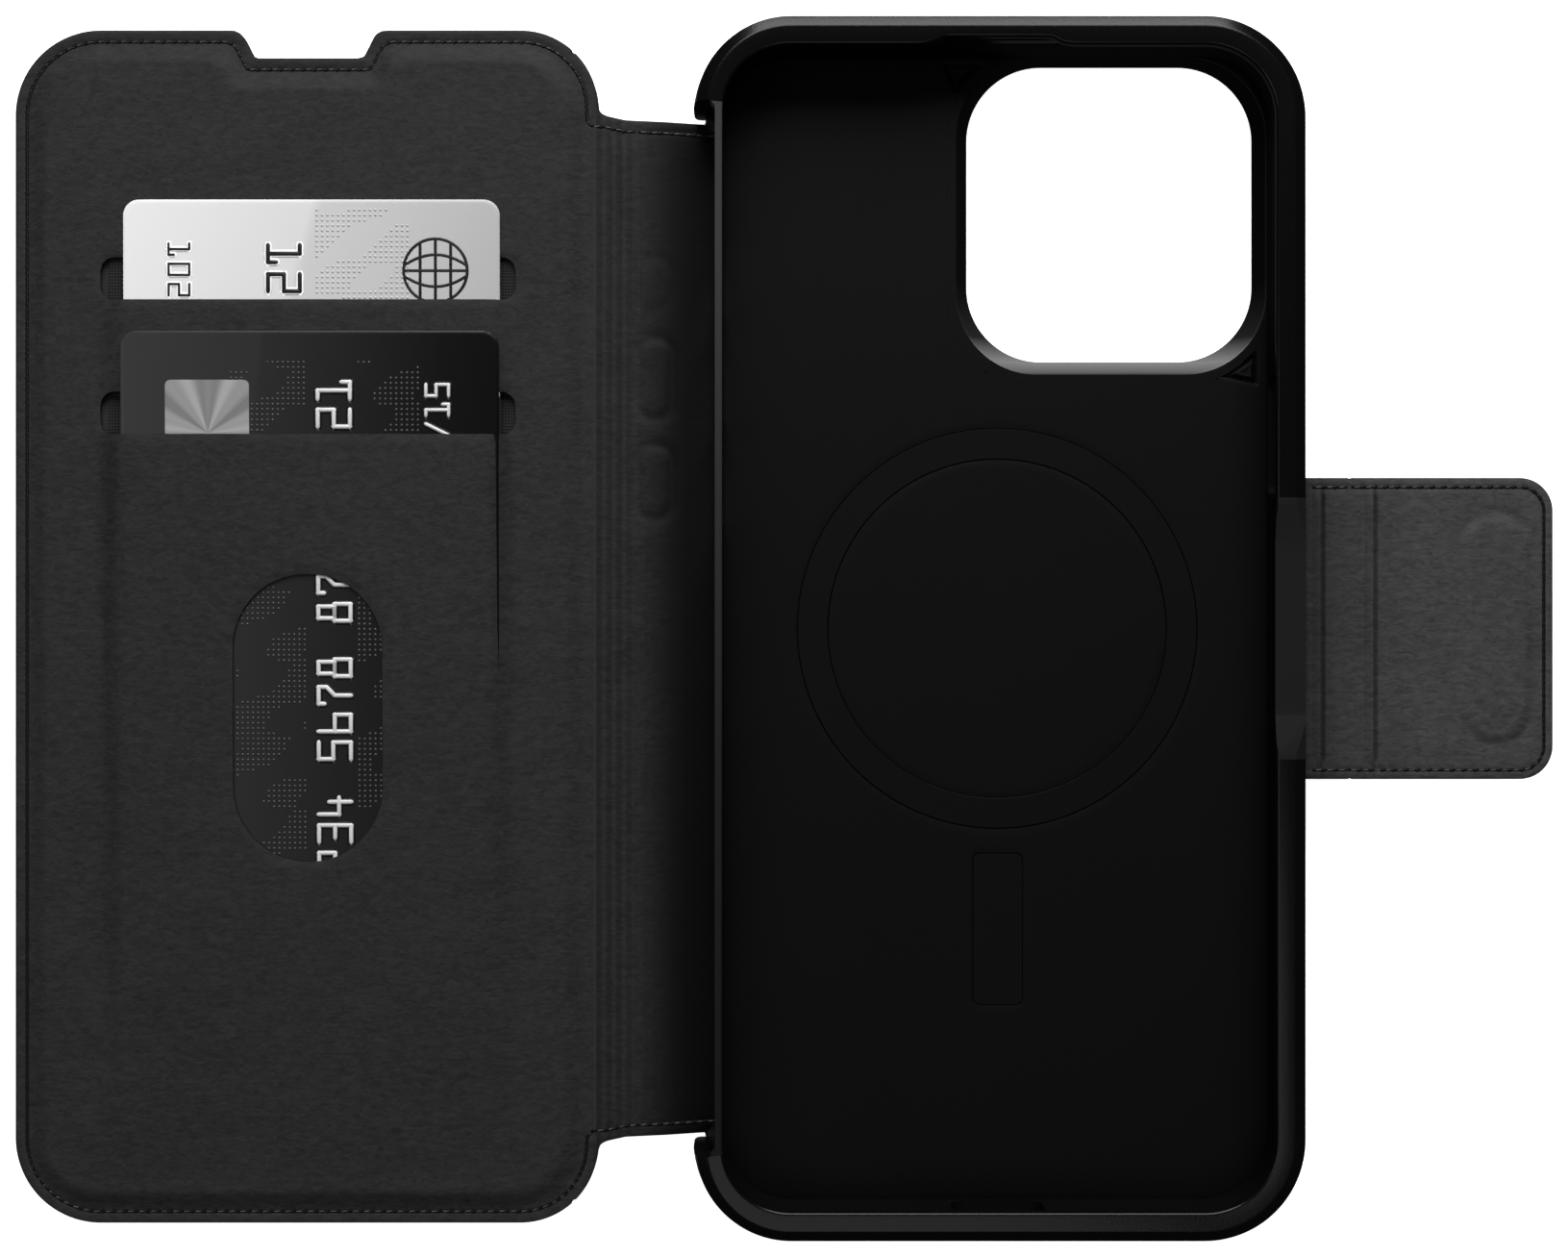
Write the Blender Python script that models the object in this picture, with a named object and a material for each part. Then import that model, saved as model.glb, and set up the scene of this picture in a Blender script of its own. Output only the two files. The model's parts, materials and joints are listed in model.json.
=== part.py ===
"""Phone wallet case: a rugged leather folio for a large phone, opened flat.

Lengths below are millimetres; mesh data is written in metres. X runs across the open case, from the free
edge of the wallet cover (-X) to the closing tab (+X). Y runs along the phone, with its camera end at +Y.
Z is up, and the leather lies on z = 0. Four live hinges close it: two along the spine and two in the tab.
"""
import math

import bmesh
import bpy

MM = 0.001
GAP = 0.1  # between pieces that touch in the real case
ARC = 7  # straight pieces in a quarter of a large corner

# the phone that the tray is made for
PHONE = (77.6, 163.0, 8.25)
POCKET_FIT = 0.2

# layers of leather
LEATHER = 0.7
FOLD_Z = LEATHER + GAP / 2
INNER_Z = LEATHER + GAP
INNER_TOP = INNER_Z + LEATHER

# moulded tray
TRAY_X = 31.8  # middle of the tray
TRAY_W, TRAY_H = 85.9, 172.0
TRAY_R = 13.4
TRAY_Z = INNER_Z
FLOOR_Z = 3.1
SHELL_TOP = 9.9
LIP_UNDER = 11.5
LIP_TOP = 12.9
SHELL_INSET = 2.5
LIP_INSET = 4.9
LEFT, RIGHT = TRAY_X - TRAY_W / 2, TRAY_X + TRAY_W / 2
POCKET_W, POCKET_H = PHONE[0] + 2 * POCKET_FIT, PHONE[1] + 4 * POCKET_FIT

# spine
FOLD_A = -9.5  # between the tray and the spine
SPINE_W = 15.0
FOLD_B = FOLD_A - SPINE_W  # between the spine and the cover
SPINE_HALF_A, SPINE_HALF_B = 71.7, 73.1
SPINE_RECESS_X = FOLD_A + 1.3
SPINE_RECESS_HALF = 73.3
FOLD_RELIEF = 1.0

# wallet cover
COVER_LEFT = -109.2
COVER_HALF = 85.9
COVER_R = 11.8
COVER_EDGE = FOLD_B - 1.2
NOTCH_FLOOR = 82.0
BOARD_Z, BOARD_TOP = 0.8, 1.7
LINER_Z, LINER_T = 1.8, 0.1
LINING_Z, LINING_T = 2.05, 0.5
STITCH_INSET = 1.6

# cards
CARD = (54.0, 85.6, 0.76)
CARD_R = 3.2
CARD_X = -66.4
UPPER_CARD_END, LOWER_CARD_END = -24.1, -43.1
UPPER_SLOPE, LOWER_SLOPE = 0.0084, 0.01563
SLOT_X = (-96.3, -37.0)
UPPER_SLOT, LOWER_SLOT = (47.15, 53.4), (27.75, 34.0)
THUMB_X, THUMB_Y = (-77.4, -56.0), (-33.4, 7.8)

# closing tab
TAB_FOLD_1, TAB_FOLD_2 = 76.8, 84.1
TAB_END = 109.2
TAB_HALF, TAB_R = 20.9, 4.6
TAB_Z = 10.4  # height of both tab folds
TAB_MAGNET_X, TAB_MAGNET_HALF = (97.3, 105.5), 15.5

# magnets in the floor
RING_X, RING_OUTER, RING_INNER = 32.0, 28.8, 24.2
RING_COUNT = 16
PLATE_X, PLATE_Y = (28.5, 35.7), (-54.0, -32.2)
MAGNET_Z, MAGNET_T = 1.3, 1.2
MAGNET_LID_Z = 2.6

# camera opening: lower and upper outline of its sloping wall
CAMERA_LOW = (27.9, 69.3, 38.3, 81.2, 9.6)
CAMERA_HIGH = (26.2, 70.5, 36.6, 81.9, 10.6)
CAMERA_OUTER = (24.8, 71.2, 35.1, 82.4, 12.0)

BUTTONS = {"action": (45.5, 54.0), "volume_up": (29.8, 42.4), "volume_down": (15.3, 27.0)}
BUTTON_X = (-19.6, -12.55)
BUTTON_Z = (1.6, 2.4)

SOFT = {
    "leather": ((0.035, 0.035, 0.035), 0.62, 0.0),
    "lining": ((0.030, 0.030, 0.030), 0.66, 0.0),
    "woven": ((0.010, 0.010, 0.010), 0.9, 0.0),
    "thread": ((0.012, 0.012, 0.012), 0.8, 0.0),
    "polymer": ((0.008, 0.008, 0.008), 0.45, 0.0),
    "floor": ((0.006, 0.006, 0.006), 0.7, 0.0),
    "board": ((0.10, 0.08, 0.06), 0.9, 0.0),
    "magnet": ((0.45, 0.45, 0.47), 0.35, 1.0),
    "steel": ((0.50, 0.50, 0.50), 0.4, 1.0),
    "card_light": ((0.70, 0.70, 0.70), 0.35, 0.0),
    "card_dark": ((0.012, 0.012, 0.012), 0.3, 0.0),
}


def material(name):
    """A Principled material from the table above, made once."""
    found = bpy.data.materials.get(name)
    if found:
        return found
    colour, roughness, metallic = SOFT[name]
    made = bpy.data.materials.new(name)
    made.use_nodes = True
    shader = made.node_tree.nodes["Principled BSDF"]
    shader.inputs["Base Color"].default_value = (*colour, 1)
    shader.inputs["Roughness"].default_value = roughness
    shader.inputs["Metallic"].default_value = metallic
    made.diffuse_color = (*colour, 1)
    return made


def pivot(name, x, y, z, parent=None):
    """An empty on a joint's axis."""
    empty = bpy.data.objects.new(name, None)
    bpy.context.collection.objects.link(empty)
    empty.location = (x * MM, y * MM, z * MM)
    if parent:
        empty.parent = parent
        empty.location -= parent_place(parent)
    return empty


def parent_place(empty):
    """Where an empty is in the world, from its own place and its parents'."""
    place = empty.location.copy()
    while empty.parent:
        empty = empty.parent
        place += empty.location
    return place


def loft(name, rings, look, parent=None):
    """A closed solid through rings of points in millimetres, lowest first, each running anticlockwise."""
    mesh = bpy.data.meshes.new(name)
    made = bmesh.new()
    rows = [[made.verts.new((x * MM, y * MM, z * MM)) for x, y, z in ring] for ring in rings]
    made.faces.new(rows[0][::-1])
    made.faces.new(rows[-1])
    for low, high in zip(rows, rows[1:]):
        for i in range(len(low)):
            j = (i + 1) % len(low)
            made.faces.new((low[i], low[j], high[j], high[i]))
    made.to_mesh(mesh)
    made.free()
    thing = bpy.data.objects.new(name, mesh)
    bpy.context.collection.objects.link(thing)
    if look:
        mesh.materials.append(material(look))
    if parent:
        thing.parent = parent
        thing.location = -parent_place(parent)
    return thing


def slab(name, loop, low, high, look, parent=None):
    """An upright solid with one outline."""
    return loft(name, [[(x, y, z) for x, y in loop] for z in (low, high)], look, parent)


def leaning(name, loop, low, high, look, parent=None):
    """A slab whose lower and upper faces follow two functions of x and y."""
    rings = [[(x, y, z(x, y)) for x, y in loop] for z in (low, high)]
    return loft(name, rings, look, parent)


def fillet(corners, steps=ARC):
    """An outline, from its corners (x, y, radius) taken anticlockwise; each radius becomes an arc."""
    loop = []
    for i, (x, y, radius) in enumerate(corners):
        if not radius:
            loop.append((x, y))
            continue
        px, py, _ = corners[i - 1]
        nx, ny, _ = corners[(i + 1) % len(corners)]
        a = math.atan2(py - y, px - x)
        b = math.atan2(ny - y, nx - x)
        turn = (b - a + math.pi) % (2 * math.pi) - math.pi
        half = abs(turn) / 2
        reach = radius / math.sin(half)
        middle = a + turn / 2
        cx, cy = x + reach * math.cos(middle), y + reach * math.sin(middle)
        sweep = math.copysign(math.pi - 2 * half, -turn)
        start = middle + math.pi - sweep / 2
        for k in range(steps + 1):
            t = start + sweep * k / steps
            loop.append((cx + radius * math.cos(t), cy + radius * math.sin(t)))
    return loop


def rounded(x0, x1, y0, y1, radius, steps=ARC):
    """A rectangle with round corners."""
    return fillet([(x1, y0, radius), (x1, y1, radius), (x0, y1, radius), (x0, y0, radius)], steps)


def tray(inset, radius=None):
    """The tray's outline, moved inwards."""
    x, y = TRAY_W / 2 - inset, TRAY_H / 2 - inset
    return rounded(TRAY_X - x, TRAY_X + x, -y, y, TRAY_R - inset if radius is None else radius)


def pocket(grow=0.0):
    """The phone's outline with its clearance."""
    x, y = POCKET_W / 2 + grow, POCKET_H / 2 + grow
    return rounded(TRAY_X - 0.1 - x, TRAY_X - 0.1 + x, -y, y, 9.0 + grow)


def arc_block(middle, span, inner, outer, steps):
    """A piece of a ring seen from above."""
    angles = [middle - span / 2 + span * k / steps for k in range(steps + 1)]
    out = [(RING_X + outer * math.cos(t), outer * math.sin(t)) for t in angles]
    back = [(RING_X + inner * math.cos(t), inner * math.sin(t)) for t in reversed(angles)]
    return out + back


def circle(radius, steps=40):
    """A circle round the charging ring's centre."""
    turn = 2 * math.pi / steps
    return [(RING_X + radius * math.cos(turn * k), radius * math.sin(turn * k)) for k in range(steps)]


def cut(thing, *cutters, operation="DIFFERENCE"):
    """Booleans that take each cutter out of a solid, or that join or keep it."""
    for cutter in cutters:
        cutter.hide_render = True
        cutter.display_type = "WIRE"
        step = thing.modifiers.new(cutter.name, "BOOLEAN")
        step.operation = operation
        step.object = cutter


def path_ribbon(points, half):
    """The outline of a thin ribbon, half wide each way, along an open path."""
    sides = [], []
    for i, (x, y) in enumerate(points):
        x0, y0 = points[max(i - 1, 0)]
        x1, y1 = points[min(i + 1, len(points) - 1)]
        length = math.hypot(x1 - x0, y1 - y0)
        nx, ny = (y1 - y0) / length, (x0 - x1) / length
        sides[0].append((x + nx * half, y + ny * half))
        sides[1].append((x - nx * half, y - ny * half))
    return sides[0] + sides[1][::-1]


def cover_corners(inset, right):
    """The cover's corners with the notch in its upper edge, moved inwards."""
    top, left = COVER_HALF - inset, COVER_LEFT + inset
    radius = COVER_R - inset
    floor = NOTCH_FLOOR - inset
    return [
        (right, -top, radius), (right, top, radius),
        (-55.7 + inset, top, 2.5), (-58.0 + inset / 2, floor, 3.0),
        (-76.4 - inset / 2, floor, 3.0), (-78.6 - inset, top, 2.5),
        (left, top, radius), (left, -top, radius),
    ]


def upper_card_z(y):
    """Underside of the upper card's plane."""
    return LINER_Z + LINER_T + GAP + UPPER_SLOPE * (y - UPPER_CARD_END)


def lower_card_z(y):
    """Underside of the lower card's plane."""
    above = upper_card_z(UPPER_CARD_END) + CARD[2]
    return above + 2 * GAP + LINER_T - 0.02 + LOWER_SLOPE * (y - UPPER_CARD_END)


def lining_rise(y):
    """How far the lining's underside stands over its rim where it covers the cards."""
    marks = [
        (-50.0, LINING_Z), (LOWER_CARD_END - 0.3, lower_card_z(LOWER_CARD_END) + CARD[2] + GAP),
        (LOWER_SLOT[0], lower_card_z(LOWER_SLOT[0]) + CARD[2] + GAP),
        (LOWER_SLOT[1], upper_card_z(LOWER_SLOT[1]) + CARD[2] + GAP),
        (UPPER_SLOT[0], upper_card_z(UPPER_SLOT[0]) + CARD[2] + GAP), (UPPER_SLOT[1], LINING_Z),
    ]
    if y <= marks[0][0] or y >= marks[-1][0]:
        return 0.0
    for (y0, z0), (y1, z1) in zip(marks, marks[1:]):
        if y <= y1:
            return z0 + (z1 - z0) * (y - y0) / (y1 - y0) - LINING_Z
    return 0.0


def lining_grid(name, look, parent):
    """The cover's lining: a flat rim with a raised pocket over the cards, open at two slots and a window."""
    card_left, card_right = CARD_X - CARD[0] / 2 - 0.3, CARD_X + CARD[0] / 2 + 0.3
    xs = [COVER_LEFT - 2, SLOT_X[0] - 0.4, card_left, card_right, SLOT_X[1] + 0.4, COVER_EDGE + 2]
    ys = [
        -COVER_HALF - 2, -50.0, LOWER_CARD_END - 0.3, LOWER_SLOT[0], LOWER_SLOT[1], UPPER_SLOT[0],
        UPPER_SLOT[1], COVER_HALF + 2,
    ]
    raised = (card_left, card_right)
    mesh = bpy.data.meshes.new(name)
    made = bmesh.new()
    sheets = []
    for lift in (0.0, LINING_T):
        rows = []
        for y in ys:
            heights = [LINING_Z + lift + (lining_rise(y) if x in raised else 0.0) for x in xs]
            rows.append([made.verts.new((x * MM, y * MM, z * MM)) for x, z in zip(xs, heights)])
        sheets.append(rows)
    low, high = sheets
    for i in range(len(ys) - 1):
        for j in range(len(xs) - 1):
            made.faces.new((high[i][j], high[i][j + 1], high[i + 1][j + 1], high[i + 1][j]))
            made.faces.new((low[i][j], low[i + 1][j], low[i + 1][j + 1], low[i][j + 1]))
    rim = [(0, j) for j in range(len(xs))] + [(i, len(xs) - 1) for i in range(1, len(ys))]
    rim += [(len(ys) - 1, j) for j in range(len(xs) - 2, -1, -1)] + [(i, 0) for i in range(len(ys) - 2, 0, -1)]
    for (i, j), (k, m) in zip(rim, rim[1:] + rim[:1]):
        made.faces.new((low[i][j], low[k][m], high[k][m], high[i][j]))
    made.to_mesh(mesh)
    made.free()
    mesh.materials.append(material(look))
    thing = bpy.data.objects.new(name, mesh)
    bpy.context.collection.objects.link(thing)
    thing.parent = parent
    thing.location = -parent_place(parent)
    return thing


def make_cover(fold):
    """Outer leather, board, lining with its pockets, liners, catch plate and stitching."""
    slab("cover_outer_leather", fillet(cover_corners(0.0, FOLD_B - GAP)), 0.0, LEATHER, "leather", fold)
    board = slab("cover_board", fillet(cover_corners(1.0, COVER_EDGE)), BOARD_Z, BOARD_TOP, "board", fold)
    plate = (-98.6, -88.4, -17.0, 17.0)
    grown = (plate[0] - GAP, plate[1] + GAP, plate[2] - GAP, plate[3] + GAP)
    cut(board, slab("cut_plate", rounded(*grown, 2.1, 3), 0.5, 1.4, None))
    slab("catch_plate", rounded(*plate, 2.0, 3), BOARD_Z, 1.3, "steel", fold)
    lining = lining_grid("cover_inner_leather", "lining", fold)
    outline = slab("cut_cover", fillet(cover_corners(0.1, COVER_EDGE)), 1.0, 9.0, None)
    cut(lining, outline, operation="INTERSECT")
    holes = [slab(f"cut_slot_{i}", rounded(*SLOT_X, *slot, 1.5, 3), 1.0, 9.0, None)
             for i, slot in enumerate((UPPER_SLOT, LOWER_SLOT))]
    thumb_r = (THUMB_X[1] - THUMB_X[0]) / 2 - 0.2
    holes.append(slab("cut_thumb", rounded(*THUMB_X, *THUMB_Y, thumb_r), 1.0, 9.0, None))
    cut(lining, *holes)
    inside = (SLOT_X[0] + 0.3, SLOT_X[1] - 0.3)
    slab("pocket_liner_upper", rounded(*inside, -49.0, 60.0, 1.0, 2), LINER_Z, LINER_Z + LINER_T, "woven", fold)
    edges = (CARD_X - CARD[0] / 2 - 0.2, CARD_X + CARD[0] / 2 + 0.2)

    def liner_low(x, y):
        return upper_card_z(y) + CARD[2] + 0.08

    def liner_high(x, y):
        return liner_low(x, y) + LINER_T

    loop = rounded(*edges, UPPER_CARD_END - 14.0, LOWER_SLOT[1] - 0.3, 1.0, 2)
    leaning("pocket_liner_lower", loop, liner_low, liner_high, "woven", fold)
    right = COVER_EDGE - 0.6
    route = fillet([(x, y, r) for x, y, r in cover_corners(STITCH_INSET, right)])
    route = [p for p in route if p[0] <= right]
    start = next(i for i, p in enumerate(route) if p[1] > 60)
    route = route[start:] + route[:start]
    top = LINING_Z + LINING_T
    slab("cover_thread", path_ribbon(route, 0.25), top + 0.05, top + 0.25, "thread", fold)


def make_card(name, end, height, look, parent):
    """A plain card lying in a plane that rises gently towards +Y."""
    x0, x1 = CARD_X - CARD[0] / 2, CARD_X + CARD[0] / 2
    loop = rounded(x0, x1, end, end + CARD[1], CARD_R, 5)
    leaning(name, loop, lambda x, y: height(y), lambda x, y: height(y) + CARD[2], look, parent)


def make_spine(fold):
    """The ribbed strip between the two folds, with its button pads."""
    def outline(a, b, inset):
        near = SPINE_HALF_A + (SPINE_HALF_B - SPINE_HALF_A) * (FOLD_A - b) / SPINE_W - inset
        far = SPINE_HALF_A + (SPINE_HALF_B - SPINE_HALF_A) * (FOLD_A - a) / SPINE_W - inset
        return [(b, -near), (b, near), (a, far), (a, -far)]

    slab("spine_outer_leather", outline(FOLD_B + GAP, FOLD_A - GAP, 0.0), 0.0, LEATHER, "leather", fold)
    inner = (FOLD_B + FOLD_RELIEF, FOLD_A - FOLD_RELIEF)
    slab("spine_inner_leather", outline(*inner, 0.1), INNER_Z, INNER_TOP, "lining", fold)
    for key, (low, high) in BUTTONS.items():
        slab(f"button_pad_{key}", rounded(*BUTTON_X, low, high, 3.0, 4), *BUTTON_Z, "lining", fold)
    for side, end in ((1, "top"), (-1, "bottom")):
        line = [(inner[0], side * (SPINE_HALF_B - 1.5)), (inner[1], side * (SPINE_HALF_A - 1.4))]
        loop = path_ribbon(line, 0.25)
        slab(f"spine_thread_{end}", loop, INNER_TOP + 0.05, INNER_TOP + 0.25, "thread", fold)


def make_shell():
    """Hard inner shell: floor, walls and the seats of the magnets."""
    shell = slab("hard_shell", tray(SHELL_INSET), TRAY_Z, SHELL_TOP, "floor")
    cut(shell, slab("cut_pocket", pocket(), FLOOR_Z, 20.0, None))
    cut(shell, slab("cut_ring", circle(RING_OUTER), MAGNET_Z - GAP, 5.0, None))
    cut(shell, slab("add_hub", circle(RING_INNER), TRAY_Z + 0.1, FLOOR_Z, None), operation="UNION")
    seat = (PLATE_X[0], PLATE_X[1], PLATE_Y[0], PLATE_Y[1], 1.0, 3)
    cut(shell, slab("cut_plate_seat", rounded(*seat), MAGNET_Z - GAP, 5.0, None))
    grown = [v + s * GAP for v, s in zip(CAMERA_OUTER, (-1, 1, -1, 1, 1))]
    cut(shell, slab("cut_camera", rounded(*grown), 0.0, FLOOR_Z + GAP, None))
    strip = (SPINE_RECESS_X - 3, 1.7 - 2.9, -71.8, 71.8)
    cut(shell, slab("cut_anchor", rounded(*strip, 0.5, 2), 0.0, INNER_TOP + GAP, None))
    cut(shell, spine_recess("cut_spine_shell"), *wall_windows("shell"))
    return shell


def spine_recess(name):
    """Room in the tray's left side for the closed spine."""
    half = SPINE_RECESS_HALF
    return slab(name, rounded(LEFT - 5, SPINE_RECESS_X, -half, half, 1.0, 3), -1.0, 20.0, None)


def wall_windows(owner):
    """Cutters for the openings in the side walls: three for the button pads, the side key and the port."""
    made = []
    for key, (low, high) in BUTTONS.items():
        box = rounded(LEFT - 5, LEFT + 7, low - 0.4, high + 0.4, 0.3, 2)
        made.append(slab(f"cut_{key}_{owner}", box, 3.5, 11.1, None))
    made.append(slab(f"cut_side_key_{owner}", rounded(RIGHT - 7, RIGHT + 5, 19.0, 36.0, 0.3, 2), 3.6, 9.0, None))
    port = rounded(TRAY_X - 6.8, TRAY_X + 6.4, -TRAY_H / 2 - 5, -TRAY_H / 2 + 6, 0.3, 2)
    made.append(slab(f"cut_port_{owner}", port, 3.6, 10.0, None))
    return made


def make_bumper():
    """Raised outer ring that guards the phone's edges, with its lip, saddle and openings."""
    levels = [(TRAY_Z, 0.9), (2.2, 0.15), (3.6, 0.0), (9.2, 0.0), (11.9, 0.8), (LIP_TOP, 1.7)]
    rings = [[(x, y, z) for x, y in tray(inset, TRAY_R - inset * 0.6)] for z, inset in levels]
    ring = loft("bumper_frame", rings, "polymer")
    cut(ring, slab("cut_shell_room", tray(SHELL_INSET - GAP), 0.0, SHELL_TOP + GAP, None))
    cut(ring, slab("cut_phone_room", pocket(), 5.0, LIP_UNDER, None))
    cut(ring, slab("cut_lip", tray(LIP_INSET, 8.6), 5.0, 20.0, None))
    cut(ring, spine_recess("cut_spine_ring"), *wall_windows("ring"))
    saddle = [(RIGHT - 9, y, z) for y, z in ((-12.3, 11.5), (12.3, 11.5), (17.0, 14.0), (-17.0, 14.0))]
    saddle_end = [(RIGHT + 3, y, z) for _, y, z in saddle]
    cut(ring, loft("cut_saddle", [saddle, saddle_end], None))
    slot = rounded(RIGHT - 1.9, RIGHT + 5, -TAB_HALF - GAP, TAB_HALF + GAP, 0.2, 2)
    cut(ring, slab("cut_tab_slot", slot, TAB_Z - LEATHER - 1.5 * GAP, TAB_Z + LEATHER + 1.5 * GAP, None))


def make_back():
    """Outer leather under the tray, the glued end of the spine's inner leather, and the camera surround."""
    corners = [
        (RIGHT - 1.2, -TRAY_H / 2 + 1.2, 11.0), (RIGHT - 1.2, TRAY_H / 2 - 1.2, 11.0),
        (LEFT + 1.2, TRAY_H / 2 - 1.2, 11.0), (LEFT + 1.2, 73.4, 0), (FOLD_A + GAP, 71.7, 0),
        (FOLD_A + GAP, -71.7, 0), (LEFT + 1.2, -73.4, 0), (LEFT + 1.2, -TRAY_H / 2 + 1.2, 11.0),
    ]
    leather = slab("back_leather", fillet(corners), 0.0, LEATHER, "leather")
    grown = [v + s * GAP for v, s in zip(CAMERA_OUTER, (-1, 1, -1, 1, 1))]
    cut(leather, slab("cut_back_camera", rounded(*grown), -1.0, 2.0, None))
    strip = (SPINE_RECESS_X - 0.1, -1.4, -71.6, 71.6)
    slab("spine_anchor_strip", rounded(*strip, 0.4, 2), INNER_Z, INNER_TOP, "lining")
    surround = slab("camera_surround", rounded(*CAMERA_OUTER), 0.0, FLOOR_Z, "polymer")
    rows = []
    span = FLOOR_Z
    for z in (-1.0, 4.0):
        t = z / span
        rows.append([(x, y, z) for x, y in rounded(*[a + (b - a) * t for a, b in zip(CAMERA_LOW, CAMERA_HIGH)])])
    cut(surround, loft("cut_surround", rows, None))


def make_magnets():
    """Sixteen blocks in a ring under a flush cover, and the bar below it."""
    share = 2 * math.pi / RING_COUNT
    for i in range(RING_COUNT):
        span = share - 2 * GAP / RING_INNER
        block = arc_block(share * (i + 0.5), span, RING_INNER + 0.3, RING_OUTER - 0.3, 3)
        slab(f"ring_magnet_{i + 1:02d}", block, MAGNET_Z, MAGNET_Z + MAGNET_T, "magnet")
    lid = slab("magnet_cover_ring", circle(RING_OUTER - GAP), MAGNET_LID_Z, FLOOR_Z, "floor")
    cut(lid, slab("cut_lid", circle(RING_INNER + GAP), 0.0, 5.0, None))
    inside = (PLATE_X[0] + 0.2, PLATE_X[1] - 0.2, PLATE_Y[0] + 0.2, PLATE_Y[1] - 0.2, 0.8, 3)
    slab("orientation_magnet", rounded(*inside), MAGNET_Z, MAGNET_Z + MAGNET_T, "magnet")
    inside = (PLATE_X[0] + GAP, PLATE_X[1] - GAP, PLATE_Y[0] + GAP, PLATE_Y[1] - GAP, 0.9, 3)
    slab("orientation_magnet_cover", rounded(*inside), MAGNET_LID_Z, FLOOR_Z, "floor")


def make_tab(link, flap):
    """The closing strap: its glued root, the link up the tray's side, and the magnetic flap."""
    under = (TAB_Z - GAP / 2 - LEATHER, TAB_Z - GAP / 2)
    over = (TAB_Z + GAP / 2, TAB_Z + GAP / 2 + LEATHER)
    half = TAB_HALF
    root = RIGHT - 1.8
    slab("tab_anchor_outer", rounded(root, TAB_FOLD_1 - 1.0, -half, half, 0.3, 2), *under, "leather")
    slab("tab_anchor_inner", rounded(root, TAB_FOLD_1 - 1.0, -half, half, 0.3, 2), *over, "lining")
    middle = (TAB_FOLD_1 - 1.0 + 2 * GAP, TAB_FOLD_2 - GAP)
    slab("tab_link_outer_leather", rounded(*middle, -half, half, 0.3, 2), *under, "leather", link)
    middle = (TAB_FOLD_1 + FOLD_RELIEF, TAB_FOLD_2 - FOLD_RELIEF)
    slab("tab_link_inner_leather", rounded(*middle, -half, half, 0.3, 2), *over, "lining", link)
    inset = STITCH_INSET
    for side, end in ((1, "top"), (-1, "bottom")):
        y = side * (half - inset)
        line = path_ribbon([(middle[0], y), (middle[1], y)], 0.25)
        slab(f"tab_link_thread_{end}", line, over[1] + 0.05, over[1] + 0.2, "thread", link)

    def shape(left, grow):
        radius = TAB_R + grow
        return fillet([
            (left, -half - grow, 0), (TAB_END + grow, -half - grow, radius),
            (TAB_END + grow, half + grow, radius), (left, half + grow, 0),
        ])

    leather = slab("tab_flap_outer_leather", shape(TAB_FOLD_2 + GAP, 0.0), *under, "leather", flap)
    x0, x1 = TAB_MAGNET_X
    reach = TAB_MAGNET_HALF
    boss = rounded(x0 - 1.2, x1 + 1.2, -reach - 1.2, reach + 1.2, 4.6)
    cut(leather, slab("add_boss", boss, under[0] - 0.7, under[0] + 0.3, None), operation="UNION")
    hollow = rounded(x0 - GAP, x1 + GAP, -reach - GAP, reach + GAP, 3.6)
    cut(leather, slab("cut_magnet", hollow, under[0] - GAP, under[1] + 1.0, None))
    slab("tab_flap_inner_leather", shape(TAB_FOLD_2 + FOLD_RELIEF, 0.0), *over, "lining", flap)
    slab("tab_magnet", rounded(x0, x1, -reach, reach, 3.5), under[0], under[1], "magnet", flap)
    ring = shape(TAB_FOLD_2 + FOLD_RELIEF + 0.4, -inset)
    slab("tab_thread", path_ribbon(ring, 0.25), over[1] + 0.05, over[1] + 0.2, "thread", flap)


def main():
    for thing in list(bpy.data.objects):
        bpy.data.objects.remove(thing)
    spine = pivot("spine_fold", FOLD_A, 0.0, FOLD_Z)
    cover = pivot("cover_fold", FOLD_B, 0.0, FOLD_Z, spine)
    link = pivot("tab_link_fold", TAB_FOLD_1, 0.0, TAB_Z)
    flap = pivot("tab_flap_fold", TAB_FOLD_2, 0.0, TAB_Z, link)
    make_cover(cover)
    for name, end, height, look in (
        ("card_upper", UPPER_CARD_END, upper_card_z, "card_light"),
        ("card_lower", LOWER_CARD_END, lower_card_z, "card_dark"),
    ):
        place = pivot(f"{name}_slide", CARD_X, end, height(end), cover)
        make_card(name, end, height, look, place)
    make_spine(spine)
    make_shell()
    make_bumper()
    make_back()
    make_magnets()
    make_tab(link, flap)


main()
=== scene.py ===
"""Looks of the phone wallet case: leather, moulded tray, stitching, cards, floor, light and camera.

Lengths are millimetres in the frame's axes, and turn to metres where a mesh is made. Every surface is worked
out with numpy: a height over a plan, or a profile carried along a closed line.
"""
import json
import math

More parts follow.
